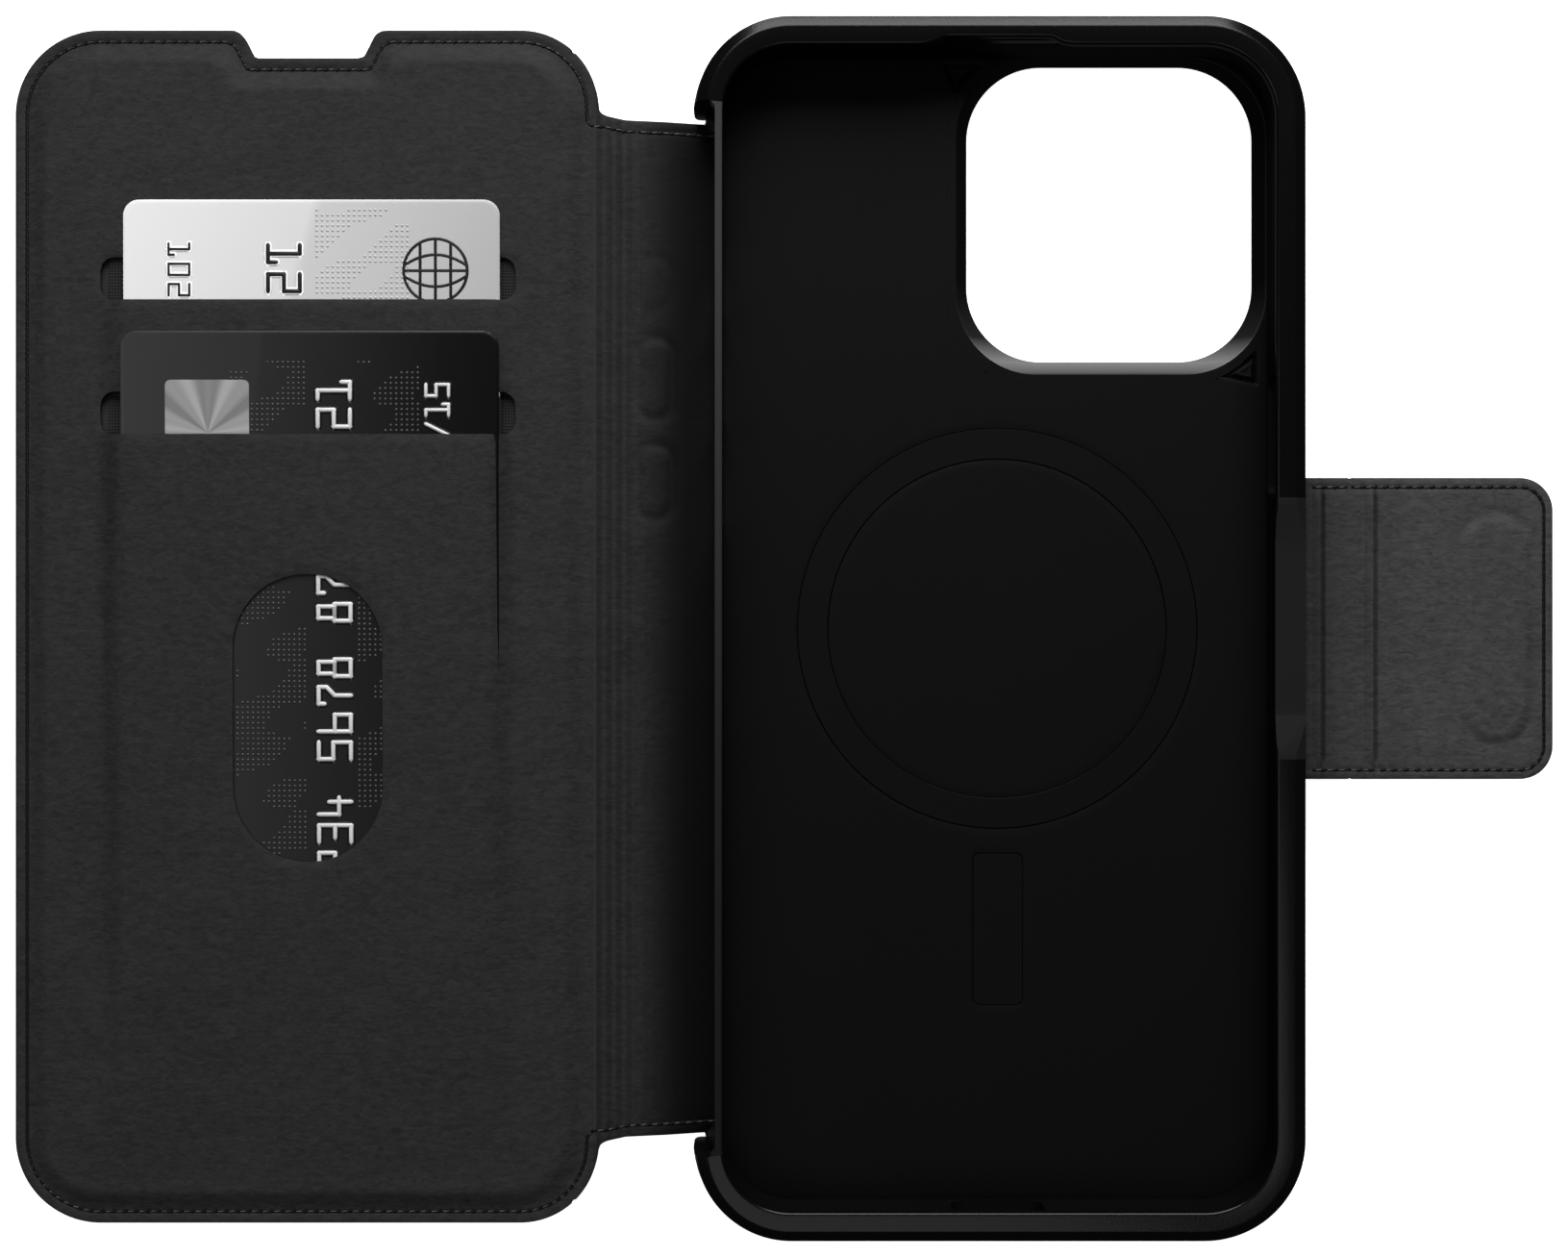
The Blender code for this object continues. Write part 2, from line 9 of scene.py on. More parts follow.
import bpy
import numpy as np
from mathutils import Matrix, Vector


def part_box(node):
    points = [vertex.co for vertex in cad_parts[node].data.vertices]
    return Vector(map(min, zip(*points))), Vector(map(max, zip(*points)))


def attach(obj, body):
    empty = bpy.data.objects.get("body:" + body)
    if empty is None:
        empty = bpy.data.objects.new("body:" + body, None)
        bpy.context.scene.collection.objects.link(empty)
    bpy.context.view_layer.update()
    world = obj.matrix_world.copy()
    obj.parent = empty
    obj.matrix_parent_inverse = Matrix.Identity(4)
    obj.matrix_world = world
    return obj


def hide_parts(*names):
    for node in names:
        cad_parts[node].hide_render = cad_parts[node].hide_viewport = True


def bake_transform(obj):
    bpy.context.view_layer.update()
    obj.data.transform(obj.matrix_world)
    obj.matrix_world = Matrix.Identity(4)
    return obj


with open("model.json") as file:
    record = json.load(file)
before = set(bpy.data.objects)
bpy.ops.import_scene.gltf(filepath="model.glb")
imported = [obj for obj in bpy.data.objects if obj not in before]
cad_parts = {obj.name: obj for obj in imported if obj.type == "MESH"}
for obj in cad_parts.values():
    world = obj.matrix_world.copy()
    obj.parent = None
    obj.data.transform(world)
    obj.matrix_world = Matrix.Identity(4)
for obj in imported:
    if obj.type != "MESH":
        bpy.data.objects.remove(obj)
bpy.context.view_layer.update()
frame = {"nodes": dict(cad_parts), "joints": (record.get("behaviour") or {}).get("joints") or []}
MM = 0.001


def node_box(name):
    """A CAD node's lowest and highest corners in millimetres."""
    low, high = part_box(name)
    return np.array(low) / MM, np.array(high) / MM


def joint_x(name):
    """Where a fold's axis crosses X."""
    return next(j for j in frame["joints"] if j["name"] == name)["pos_m"][0] / MM


# ---------------------------------------------------------------- places, read from the frame
FOLD_A, FOLD_B = joint_x("spine_fold"), joint_x("cover_fold")
TAB_1, TAB_2 = joint_x("tab_link_fold"), joint_x("tab_flap_fold")
BUMPER = node_box("bumper_frame")
COVER = node_box("cover_outer_leather")
ANCHOR = node_box("spine_anchor_strip")
CARD_UP, CARD_LOW = node_box("card_upper"), node_box("card_lower")
LINER = node_box("pocket_liner_upper")
FLAP = node_box("tab_flap_inner_leather")
FLAP_BACK = node_box("tab_flap_outer_leather")
TAB_MAGNET = node_box("tab_magnet")
TAB_ROOT = node_box("tab_anchor_inner")
SURROUND = node_box("camera_surround")
BACK = node_box("back_leather")
RING_LID = node_box("magnet_cover_ring")

LEATHER = COVER[1][2]  # thickness of the outer leather
SKIN = LEATHER + 0.06  # underside of the inner leather
SPINE_LINING = 0.74  # thickness of the lining along the spine
MID_X = (BUMPER[0][0] + BUMPER[1][0]) / 2
FLOOR_Z = RING_LID[1][2]
CARD_T, CARD_R = 0.76, 2.3  # a card's thickness and corner radius
SLOT = (LINER[0][0] - 0.9, LINER[1][0] + 0.1)  # the ends of both card slots
SLOT_UP, SLOT_LOW = (47.15, 53.4), (27.75, 34.0)  # the sides of each
SLOT_R = 2.0
THUMB = (-77.4, -56.0, -33.4, 7.8)  # the thumb window's sides
RIM_LOW, RIM_TOP = 1.9, 2.8  # top of the lining at the cover's stitching, and on the pad inside it
# the cover's sides
EDGE_X, EDGE_LOW, EDGE_HIGH = COVER[0][0] - 0.16, COVER[0][1] + 0.28, COVER[1][1] + 0.28
NOTCH_X = -67.1  # middle of the notch in the cover's upper edge
SPINE_SPLIT = FOLD_A - 10.7  # a crease where the two lengths of leather meet
SPINE_LINE_END = FOLD_A + 0.7  # where the spine's stitching goes under the tray
RECESS = 73.45  # half the length of the room for the closed spine in the tray's left side
HEM, TAB_HEM = 1.65, 1.3  # from the edge to the stitching, on the cover and on the strap


STRAIGHT = 400.0  # a step that leaves straight sides undivided
FINE, WIDE = 0.33, 0.85  # grid steps near the cover's edges, and inside them


# ---------------------------------------------------------------- nodes and materials
def linear(code, share=1.0):
    """An sRGB hex colour as linear values, times a share."""
    c = np.array([int(code[i : i + 2], 16) / 255 for i in (1, 3, 5)])
    c = np.where(c <= 0.04045, c / 12.92, ((c + 0.055) / 1.055) ** 2.4)
    return (*(float(v) * share for v in c), 1.0)


def node(tree, kind, settings=None, out=0, stops=(), **links):
    """Adds a node of one kind and returns one of its outputs. settings are its properties, stops a colour
    ramp's (place, hex colour), and links its inputs, by name or as _number: a value or another's output."""
    made = tree.nodes.new("ShaderNode" + kind)
    for key, value in (settings or {}).items():
        setattr(made, key, value)
    while stops and len(made.color_ramp.elements) < len(stops):
        made.color_ramp.elements.new(0.5)
    for element, (place, code) in zip(made.color_ramp.elements if stops else (), stops):
        element.position = place
        element.color = linear(code)
    for key, value in links.items():
        socket = made.inputs[int(key[1:])] if key[0] == "_" else made.inputs[key.replace("_", " ")]
        if isinstance(value, bpy.types.NodeSocket):
            tree.links.new(value, socket)
        else:
            socket.default_value = value
    return made.outputs[out]


def new_material(name, **sockets):
    """A Principled material and its tree, with what is uniform on the shader's own sockets."""
    made = bpy.data.materials.new(name)
    made.use_nodes = True
    for key, value in sockets.items():
        made.node_tree.nodes["Principled BSDF"].inputs[key.replace("_", " ")].default_value = value
    return made, made.node_tree


def finished(made, **links):
    """The material, after what varies over its surface is linked to its shader."""
    for key, output in links.items():
        socket = made.node_tree.nodes["Principled BSDF"].inputs[key.replace("_", " ")]
        made.node_tree.links.new(output, socket)
    return made


def place_of(tree):
    """Object coordinates, in metres."""
    return node(tree, "TexCoord", out="Object")


def graded(tree, place, axis, stops):
    """A colour that changes along one axis, from stops of (millimetres, hex colour)."""
    first, last = stops[0][0] * MM, stops[-1][0] * MM
    across = node(tree, "SeparateXYZ", out=axis, Vector=place)
    along = node(tree, "MapRange", Value=across, From_Min=first, From_Max=last)
    shares = [((at * MM - first) / (last - first), code) for at, code in stops]
    return node(tree, "ValToRGB", Fac=along, stops=shares)


def leather(name, dark, light, rough, grain=0.75, depth=0.09, painted_shade=None):
    """Polyurethane leather, embossed from a roller: low pebbles under a millimetre wide, short level wrinkles
    that run mostly across the sheet, and a dull sheen that breaks up along them. painted_shade is (x, tint)
    places along X where shade is painted into the colour, darker where the sheet would lie in shade."""
    made, tree = new_material(name, IOR=1.46, Specular_IOR_Level=0.1)
    place = place_of(tree)
    pebble = node(
        tree, "TexVoronoi", {"feature": "SMOOTH_F1"}, Vector=place, Scale=1000 / grain, Smoothness=0.6
    )
    flat = node(tree, "Mapping", Vector=place, Scale=(1.0, 2.6, 1.0))
    wrinkle = node(tree, "TexNoise", Vector=flat, Scale=620.0, Detail=5.0, Roughness=0.62, Distortion=1.1)
    broad = node(tree, "TexNoise", Vector=flat, Scale=70.0, Detail=4.0, Roughness=0.6, Distortion=0.7)
    mostly = node(tree, "Math", {"operation": "MULTIPLY"}, _0=wrinkle, _1=0.82)
    tint = node(tree, "Math", {"operation": "MULTIPLY_ADD"}, _0=broad, _1=0.18, _2=mostly)
    colour = node(tree, "ValToRGB", Fac=tint, stops=[(0.36, dark), (0.64, light)])
    # painted shade: the colour is multiplied by a tint that darkens along X
    if painted_shade:
        shade = graded(tree, place, 0, painted_shade)
        colour = node(tree, "MixRGB", {"blend_type": "MULTIPLY"}, Fac=1.0, Color1=colour, Color2=shade)
    dull = node(tree, "MapRange", Value=wrinkle, To_Min=rough - 0.07, To_Max=rough + 0.09)
    relief = node(tree, "Math", {"operation": "MULTIPLY_ADD"}, _0=pebble, _1=0.35, _2=wrinkle)
    deep = node(tree, "Bump", Height=broad, Strength=0.08, Distance=0.5 * MM)
    fine = node(tree, "Bump", Height=relief, Strength=0.32, Distance=depth * MM, Normal=deep)
    return finished(made, Base_Color=colour, Roughness=dull, Normal=fine)


def moulded(name, tone, rough, grit=0.35, spec=0.5):
    """Polymer moulded in a spark-etched tool: a fine even texture that softens the shine. tone is a colour,
    or (y, colour) places along Y where light and shade are painted into the colour."""
    made, tree = new_material(name, IOR=1.49, Specular_IOR_Level=spec)
    place = place_of(tree)
    speckle = node(tree, "TexNoise", Vector=place, Scale=1000 / grit, Detail=3.0, Roughness=0.6)
    if isinstance(tone, list):
        colour = graded(tree, place, 1, tone)
    else:
        patch = node(tree, "TexNoise", Vector=place, Scale=45.0, Detail=3.0)
        colour = node(tree, "MixRGB", Fac=patch, Color1=linear(tone, 0.85), Color2=linear(tone, 1.15))
    dull = node(tree, "MapRange", Value=speckle, To_Min=rough - 0.05, To_Max=rough + 0.06)
    bump = node(tree, "Bump", Height=speckle, Strength=0.5, Distance=0.02 * MM)
    return finished(made, Base_Color=colour, Roughness=dull, Normal=bump)


def woven(name):
    """Polyester mesh lining: a plain weave of 0.35 mm threads, drawn as two crossed sets of ridges."""
    made, tree = new_material(name, Roughness=0.85, Specular_IOR_Level=0.25)
    place = place_of(tree)
    warp, weft = (
        node(tree, "TexWave", {"wave_type": "BANDS", "bands_direction": way, "wave_profile": "SIN"}, "Fac",
             Vector=place, Scale=1000 / 0.7 / 2.0, Distortion=0.0)
        for way in "XY"
    )
    cross = node(tree, "Math", {"operation": "MAXIMUM"}, _0=warp, _1=weft)
    colour = node(tree, "ValToRGB", Fac=cross, stops=[(0.3, "#040404"), (0.95, "#1E1E1E")])
    bump = node(tree, "Bump", Height=cross, Strength=0.8, Distance=0.1 * MM)
    return finished(made, Base_Color=colour, Normal=bump)


def spun(name, code, light, spec):
    """Bonded nylon thread: fine slanted plies with a slight gloss."""
    made, tree = new_material(name, Roughness=0.5, Specular_IOR_Level=spec)
    ply = node(tree, "TexNoise", Vector=place_of(tree), Scale=4200.0, Detail=2.0)
    colour = node(tree, "ValToRGB", Fac=ply, stops=[(0.35, code), (0.7, light)])
    bump = node(tree, "Bump", Height=ply, Strength=0.4, Distance=0.04 * MM)
    return finished(made, Base_Color=colour, Normal=bump)


def plated(name, code, rough):
    """Metal with a drawn finish: faint streaks along Y."""
    made, tree = new_material(name, Metallic=1.0)
    streak = node(tree, "Mapping", Vector=place_of(tree), Scale=(1.0, 0.04, 1.0))
    grain = node(tree, "TexNoise", Vector=streak, Scale=3500.0, Detail=3.0)
    colour = node(tree, "ValToRGB", Fac=grain, stops=[(0.3, code), (0.75, "#D8D8DA")])
    dull = node(tree, "MapRange", Value=grain, To_Min=rough - 0.06, To_Max=rough + 0.08)
    return finished(made, Base_Color=colour, Roughness=dull)


def fibre_board(name):
    """Pressed fibre board, dyed through: mottled near-black with short flecks."""
    made, tree = new_material(name, Roughness=0.9)
    fleck = node(tree, "TexNoise", Vector=place_of(tree), Scale=900.0, Detail=6.0, Roughness=0.7)
    colour = node(tree, "ValToRGB", Fac=fleck, stops=[(0.3, "#0C0C0C"), (0.7, "#1C1B1A")])
    return finished(made, Base_Color=colour)


def card_plastic(name, stops, angle, rough, middle, width, spec=0.35):
    """Laminated PVC under a satin film, with painted light: a sweep of tone at an angle across the card,
    lighter on one side as the light falls.
    """
    made, tree = new_material(name, IOR=1.5, Roughness=rough, Specular_IOR_Level=spec)
    turned = node(
        tree, "Mapping", {"vector_type": "TEXTURE"}, Vector=place_of(tree), Scale=(width * MM, 1, 1),
        Location=(middle[0] * MM, middle[1] * MM, 0), Rotation=(0, 0, math.radians(angle)),
    )
    across = node(tree, "SeparateXYZ", Vector=turned)
    share = node(tree, "MapRange", Value=across, From_Min=-0.5, From_Max=0.5)
    haze = node(tree, "TexNoise", Vector=place_of(tree), Scale=1500.0, Detail=2.0)
    bump = node(tree, "Bump", Height=haze, Strength=0.08, Distance=0.02 * MM)
    return finished(made, Base_Color=node(tree, "ValToRGB", Fac=share, stops=stops), Normal=bump)


def diffraction_foil(name, x, y):
    """Embossed diffraction foil: a metal film whose rays are a painted reflection, tone that turns in wedges
    round a middle.
    """
    made, tree = new_material(name, Metallic=0.15, Roughness=0.4)
    centred = node(
        tree, "Mapping", {"vector_type": "TEXTURE"}, Vector=place_of(tree), Location=(x * MM, y * MM, 0)
    )
    along = node(tree, "SeparateXYZ", Vector=centred)
    angle = node(tree, "Math", {"operation": "ARCTAN2"}, _0=along.node.outputs[1], _1=along)
    turned = [node(tree, "Math", {"operation": "MULTIPLY"}, _0=angle, _1=wedges) for wedges in (17.0, 7.0)]
    many, few = (node(tree, "Math", {"operation": "SINE"}, _0=value) for value in turned)
    both = node(tree, "Math", {"operation": "MULTIPLY_ADD"}, _0=many, _1=0.5, _2=few)
    share = node(tree, "MapRange", Value=both, From_Min=-1.5, From_Max=1.5)
    stops = [(0.15, "#6E6E6E"), (0.5, "#828282"), (0.9, "#989898")]
    return finished(made, Base_Color=node(tree, "ValToRGB", Fac=share, stops=stops))


LOOK = {
    "inner_leather": leather(
        "inner_leather", "#1D1D1D", "#2B2B2B", 0.60,
        # painted shade: darker stripes in the grooves between the spine's ribs, and darker towards the tray,
        # whose wall would shade the spine
        painted_shade=[
            (-26.2, "#FFFFFF"), (-25.28, "#C8C8C8"), (-24.56, "#FFFFFF"), (-23.85, "#C8C8C8"),
            (-23.13, "#FFFFFF"), (-22.4, "#C8C8C8"), (-21.7, "#FFFFFF"), (-20.98, "#D4D4D4"),
            (-20.27, "#F4F4F4"), (-17.0, "#ACACAC"), (-14.6, "#646464"), (-12.7, "#202020"),
            (-9.0, "#0A0A0A"),
        ],
    ),
    "outer_leather": leather("outer_leather", "#1C1C1C", "#262626", 0.62, grain=0.9, depth=0.12),
    "tab_leather": leather(
        "tab_leather", "#2D2D2D", "#404040", 0.60,
        # painted shade: the strap is darker towards its root beside the tray
        painted_shade=[(73.0, "#A4A4A4"), (76.0, "#B8B8B8"), (79.0, "#DCDCDC"), (90.0, "#FFFFFF")],
    ),
    "bumper": moulded("bumper_polymer", "#060606", 0.19, spec=0.16),
    # painted light: the left lip's top is brighter towards +Y, towards the key lamp
    "hinge_lip_painted_light": moulded(
        "hinge_polymer_painted_light", [(-62.0, "#0F0F0F"), (-20.0, "#181818"), (20.0, "#262626"), (56.0, "#303030")],
        0.5, spec=0.1,
    ),
    "saddle": moulded("saddle_polymer", "#161616", 0.4, spec=0.1),
    "surround": moulded(
        "surround_polymer_painted_highlight",
        # painted highlight: the opening's lower wall, from y 36.8 to 42, is bright where it faces the key
        # lamp; the rest is near black
        [(36.4, "#060606"), (36.8, "#4C4C4C"), (38.4, "#6A6A6A"), (42.0, "#1C1C1C"), (50.0, "#040404")],
        0.5, spec=0.1,
    ),
    "shell": moulded("shell_polymer", "#050505", 0.6, grit=0.5, spec=0.07),
    "lid": moulded("lid_polymer", "#050505", 0.58, grit=0.5, spec=0.07),
    "woven": woven("woven_polyester"),
    # thread is dark thread and painted shade in the groove and the needle holes; thread_glint is a painted
    # glint on the top thread
    "thread": spun("thread_and_painted_shade", "#020202", "#090909", 0.15),
    "thread_glint": spun("thread_painted_glint", "#2C2C2C", "#4C4C4C", 0.4),
    "magnet": plated("nickel_plate", "#A8A8AC", 0.3),
    "steel": plated("steel_sheet", "#8C8C8C", 0.4),
    "board": fibre_board("fibre_board"),
    # painted light: the silver card is lighter on its left and falls off to the right
    "card_light": card_plastic(
        "silver_card", [(0.0, "#D8D8D8"), (0.46, "#C8C8C8"), (0.485, "#BABABA"), (1.0, "#A2A2A2")],
        -16, 0.34, (-66.0, 54.0), 58.0,
    ),
    # painted light: the black card is lighter on its left and near black on its right
    "card_dark": card_plastic(
        "black_card",
        [(0.0, "#303030"), (0.36, "#282828"), (0.37, "#242424"), (0.8, "#0C0C0C"), (1.0, "#030303")],
        -6, 0.3, (-66.0, 32.0), 60.0, 0.15,
    ),
    "ink_dark": moulded("dark_foil", "#0C0C0C", 0.4, spec=0.3),
    "ink_grey": moulded("grey_print", "#B4B4B4", 0.5),
    "ink_faint": moulded("faint_print", "#343434", 0.4),
    # painted highlight and painted shadow: the rims round the raised figures
    "painted_highlight_rim": moulded("painted_highlight_rim_film", "#F4F4F4", 0.4),
    "painted_shadow_rim": moulded("painted_shadow_rim_film", "#080808", 0.4, spec=0.3),
    "foil": moulded("silver_foil", "#C4C4C4", 0.35),
    # painted reflection: the foil's rays are tone in wedges round its middle
    "hologram": diffraction_foil("diffraction_foil", -80.9, 27.9),
}


# ---------------------------------------------------------------- mesh helpers
def piece(name, points, faces, look, body):
    """A mesh from points in millimetres and lists of corners, riding on a body."""
    mesh = bpy.data.meshes.new(name)
    mesh.from_pydata((np.asarray(points) * MM).tolist(), [], [list(map(int, f)) for f in faces])
    mesh.validate()
    mesh.materials.append(LOOK[look])
    thing = bpy.data.objects.new(name, mesh)
    bpy.context.collection.objects.link(thing)
    mesh.shade_smooth()
    if body:
        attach(thing, body)
    return thing


def crisp(thing, degrees=35):
    """Keeps an edge sharper than this angle sharp."""
    thing.data.set_sharp_from_angle(angle=math.radians(degrees))
    return thing


def quads(rows, columns, wrap_rows=False, wrap_columns=False):
    """Corner numbers of a grid's quads, row by row."""
    i = np.arange(rows if wrap_rows else rows - 1)
    j = np.arange(columns if wrap_columns else columns - 1)
    i, j = np.meshgrid(i, j, indexing="ij")
    k, m = (i + 1) % rows, (j + 1) % columns
    return np.stack([i * columns + j, k * columns + j, k * columns + m, i * columns + m], -1).reshape(-1, 4)


def round_box(x, y, x0, x1, y0, y1, radius):
    """How deep a point is inside a rectangle with round corners; negative outside."""
    qx = np.abs(x - (x0 + x1) / 2) - (x1 - x0) / 2 + radius
    qy = np.abs(y - (y0 + y1) / 2) - (y1 - y0) / 2 + radius
    return radius - np.hypot(np.maximum(qx, 0), np.maximum(qy, 0)) - np.minimum(np.maximum(qx, qy), 0)


def soft_max(a, b, width):
    """The larger of two depths, with the corner between them filled to a radius of about width."""
    h = np.clip(0.5 + 0.5 * (a - b) / width, 0, 1)
    return b + (a - b) * h + width * h * (1 - h)


def soft_min(a, b, width):
    """The smaller of two depths, with the corner between them eased in the same way."""
    return -soft_max(-a, -b, width)


def step_up(value, start, end):
    """0 before start, 1 after end, and a smooth rise between."""
    t = np.clip((value - start) / (end - start), 0, 1)
    return t * t * (3 - 2 * t)


def round_off(depth, radius):
    """A quarter circle at an edge: 1 on the edge, and 0 from a depth of radius inwards."""
    return 1 - np.sqrt(np.clip(1 - np.clip(1 - depth / radius, 0, 1) ** 2, 0, 1))


def bump_at(value, middle, half):
    """A rounded ridge: 1 at middle, 0 beyond half on each side."""
    t = np.clip(1 - ((value - middle) / half) ** 2, 0, 1)
    return t * t


def spread(low, high, step):
    """Even places from low to high, about a step apart."""
    return np.linspace(low, high, max(2, int(round((high - low) / step)) + 1))


def lines(*stretches):
    """Grid lines through several stretches of (low, high, step)."""
    return np.unique(np.round(np.concatenate([spread(*s) for s in stretches]), 4))


def plate(name, xs, ys, depth, top, bottom, look, body):
    """A sheet over a plan. depth(x, y) is positive inside the plan; grid points near its edge are pulled onto
    the edge along the depth's slope, the cells inside are kept for an upper and a lower face at heights
    top(x, y, s) and bottom(x, y, s), with s the depth, and a wall joins them round every edge."""
    x, y = np.meshgrid(xs, ys)
    dx = np.gradient(xs)[None, :] + 0 * x
    dy = np.gradient(ys)[:, None] + 0 * x
    e = 0.01
    for _ in range(2):
        s = depth(x, y)
        gx = (depth(x + e, y) - depth(x - e, y)) / (2 * e)
        gy = (depth(x, y + e) - depth(x, y - e)) / (2 * e)
        size = np.maximum(gx**2 + gy**2, 1e-6)
        near = np.abs(s) < 0.51 * (np.abs(gx) * dx + np.abs(gy) * dy)
        x = np.where(near, x - s * gx / size, x)
        y = np.where(near, y - s * gy / size, y)
    s = depth(x, y)
    inside = (s > -1e-3).ravel()
    cells = quads(len(ys), len(xs))[:, ::-1]
    px, py = x.ravel(), y.ravel()
    cx, cy = px[cells], py[cells]
    twice = (cx[:, 2] - cx[:, 0]) * (cy[:, 3] - cy[:, 1]) - (cx[:, 3] - cx[:, 1]) * (cy[:, 2] - cy[:, 0])
    area = 0.5 * np.abs(twice)
    whole = (dx * dy).ravel()[cells[:, 0]]
    keep = inside[cells].all(1) & (area > 0.04 * whole) & (depth(cx.mean(1), cy.mean(1)) > 0)
    cells = cells[keep]
    used, cells = np.unique(cells, return_inverse=True)
    cells = cells.reshape(-1, 4)
    px, py = px[used], py[used]
    s = np.maximum(depth(px, py), 0)
    upper = np.stack([px, py, top(px, py, s)], 1)
    lower = np.stack([px, py, bottom(px, py, s)], 1)
    edges = np.concatenate([cells[:, [k, (k + 1) % 4]] for k in range(4)])
    key = np.sort(edges, 1)
    _, first, count = np.unique(key, axis=0, return_index=True, return_counts=True)
    rim = edges[first[count == 1]]
    n = len(used)
    wall = np.stack([rim[:, 1], rim[:, 0], rim[:, 0] + n, rim[:, 1] + n], 1)
    faces = np.concatenate([cells, cells[:, ::-1] + n, wall])
    thing = piece(name, np.concatenate([upper, lower]), faces, look, body)
    return crisp(thing, 50)


def round_path(x0, x1, y0, y1, radius, arc=24, step=2.5, left=None):
    """Points and outward directions round a rectangle with round corners, anticlockwise from its right side.
    left is the radius of the two corners on the left, if it differs."""
    points, outs = [], []
    left = left or radius
    corners = [(x1 - radius, y1 - radius, 0, radius), (x0 + left, y1 - left, 90, left),
               (x0 + left, y0 + left, 180, left), (x1 - radius, y0 + radius, 270, radius)]
    for i, (cx, cy, start, r) in enumerate(corners):
        t = np.radians(start + np.linspace(0, 90, arc + 1))
        way = np.stack([np.cos(t), np.sin(t)], 1)
        points.append(np.array([cx, cy]) + r * way)
        outs.append(way)
        nx, ny, _, nr = corners[(i + 1) % 4]
        last = points[-1][-1]
        following = np.array([nx, ny]) + nr * way[-1]
        count = max(2, int(np.hypot(*(following - last)) / step))
        f = np.linspace(0, 1, count + 1)[1:-1, None]
        points.append(last + f * (following - last))
        outs.append(np.repeat(way[-1:], len(f), 0))
    return np.concatenate(points), np.concatenate(outs)


def sweep(name, points, outs, profile, look, body):
    """A profile of (inset, height) carried round a closed path: point = path - inset x outward, at that
    height. The profile may be one list or one for each place on the path."""
    profile = np.asarray(profile, float)
    if profile.ndim == 2:
        profile = np.broadcast_to(profile, (len(points), *profile.shape))
    flat = points[:, None, :] - outs[:, None, :] * profile[..., :1]
    carried = np.concatenate([flat, profile[..., 1:]], -1)
    faces = quads(len(points), profile.shape[1], True, True)
    return piece(name, carried.reshape(-1, 3), faces, look, body)


def carve(thing, *cutters, degrees=20):
    """Takes closed cutters out of a piece and leaves a plain mesh."""
    for cutter in cutters:
        step = thing.modifiers.new("carve", "BOOLEAN")
        step.operation = "DIFFERENCE"
        step.object = cutter
    bpy.context.view_layer.update()
    graph = bpy.context.evaluated_depsgraph_get()
    made = bpy.data.meshes.new_from_object(thing.evaluated_get(graph))
    thing.modifiers.clear()
    thing.data = made
    for cutter in cutters:
        bpy.data.objects.remove(cutter)
    made.shade_smooth()
    return crisp(thing, degrees)


def block(points_low, points_high):
    """A closed cutter between two loops of points, seen anticlockwise from the second."""
    n = len(points_low)
    faces = [list(range(n))[::-1], list(range(n, 2 * n))]
    faces += [[i, (i + 1) % n, n + (i + 1) % n, n + i] for i in range(n)]
    mesh = bpy.data.meshes.new("cutter")
    mesh.from_pydata((np.concatenate([points_low, points_high]) * MM).tolist(), [], faces)
    mesh.materials.append(LOOK["bumper"])
    thing = bpy.data.objects.new("cutter", mesh)
    bpy.context.collection.objects.link(thing)
    return thing


def box_cutter(x0, x1, y0, y1, z0, z1, radius=0.4, across="z"):
    """A cutter with four round edges along one direction."""
    spans, order = {
        "z": ((x0, x1, y0, y1, z0, z1), (0, 1, 2)),
        "x": ((y0, y1, z0, z1, x0, x1), (2, 0, 1)),
        "y": ((z0, z1, x0, x1, y0, y1), (1, 2, 0)),
    }[across]
    loop, _ = round_path(*spans[:4], radius, arc=6, step=STRAIGHT)
    ends = [np.column_stack([loop, np.full(len(loop), h)])[:, order] for h in spans[4:]]
    return block(*ends)


# ---------------------------------------------------------------- plans and heights of the leather
def spine_half(x):
    """Half the spine's length, which tapers towards the tray."""
    along = (FOLD_A - x) / (FOLD_A - FOLD_B)
    return np.interp(along, [0.0, 0.4, 0.8, 1.0], [72.7, 73.1, 73.38, 74.05])


def notch(x, y):
    """Depth inside the shallow notch in the cover's upper edge: a floor and two slanted ends."""
    ends = ((9.87 - np.abs(x - NOTCH_X)) * 2 + (y - EDGE_HIGH)) / 2.236
    return soft_min(y - EDGE_HIGH + 4.0, ends, 0.6)


def cover_plan(x, y):
    """The cover and the spine in one outline: round corners, the notch, and filled inner corners."""
    free = round_box(x, y, EDGE_X, 0.0, EDGE_LOW, EDGE_HIGH, 12.3)
    cover = np.minimum(free, round_box(x, y, EDGE_X - 20, FOLD_B - 0.9, EDGE_LOW, EDGE_HIGH, 11.2))
    cover = soft_min(cover, -notch(x, y), 1.2)
    spine = np.minimum(spine_half(x) - np.abs(y), x - (FOLD_B - 12))
    return soft_max(cover, spine, 1.6)


def holes(x, y):
    """How far a point is outside the two slots and the thumb window."""
    upper = round_box(x, y, *SLOT, *SLOT_UP, SLOT_R)
    lower = round_box(x, y, *SLOT, *SLOT_LOW, SLOT_R)
    thumb = round_box(x, y, *THUMB, 10.6)
    return -np.maximum(np.maximum(upper, lower), thumb)


def card_plane(card, y):
    """The underside of a card at y, from its box at rest."""
    low, high = card
    slope = (high[2] - low[2] - CARD_T) / (high[1] - low[1])
    return low[2] + slope * (y - low[1])


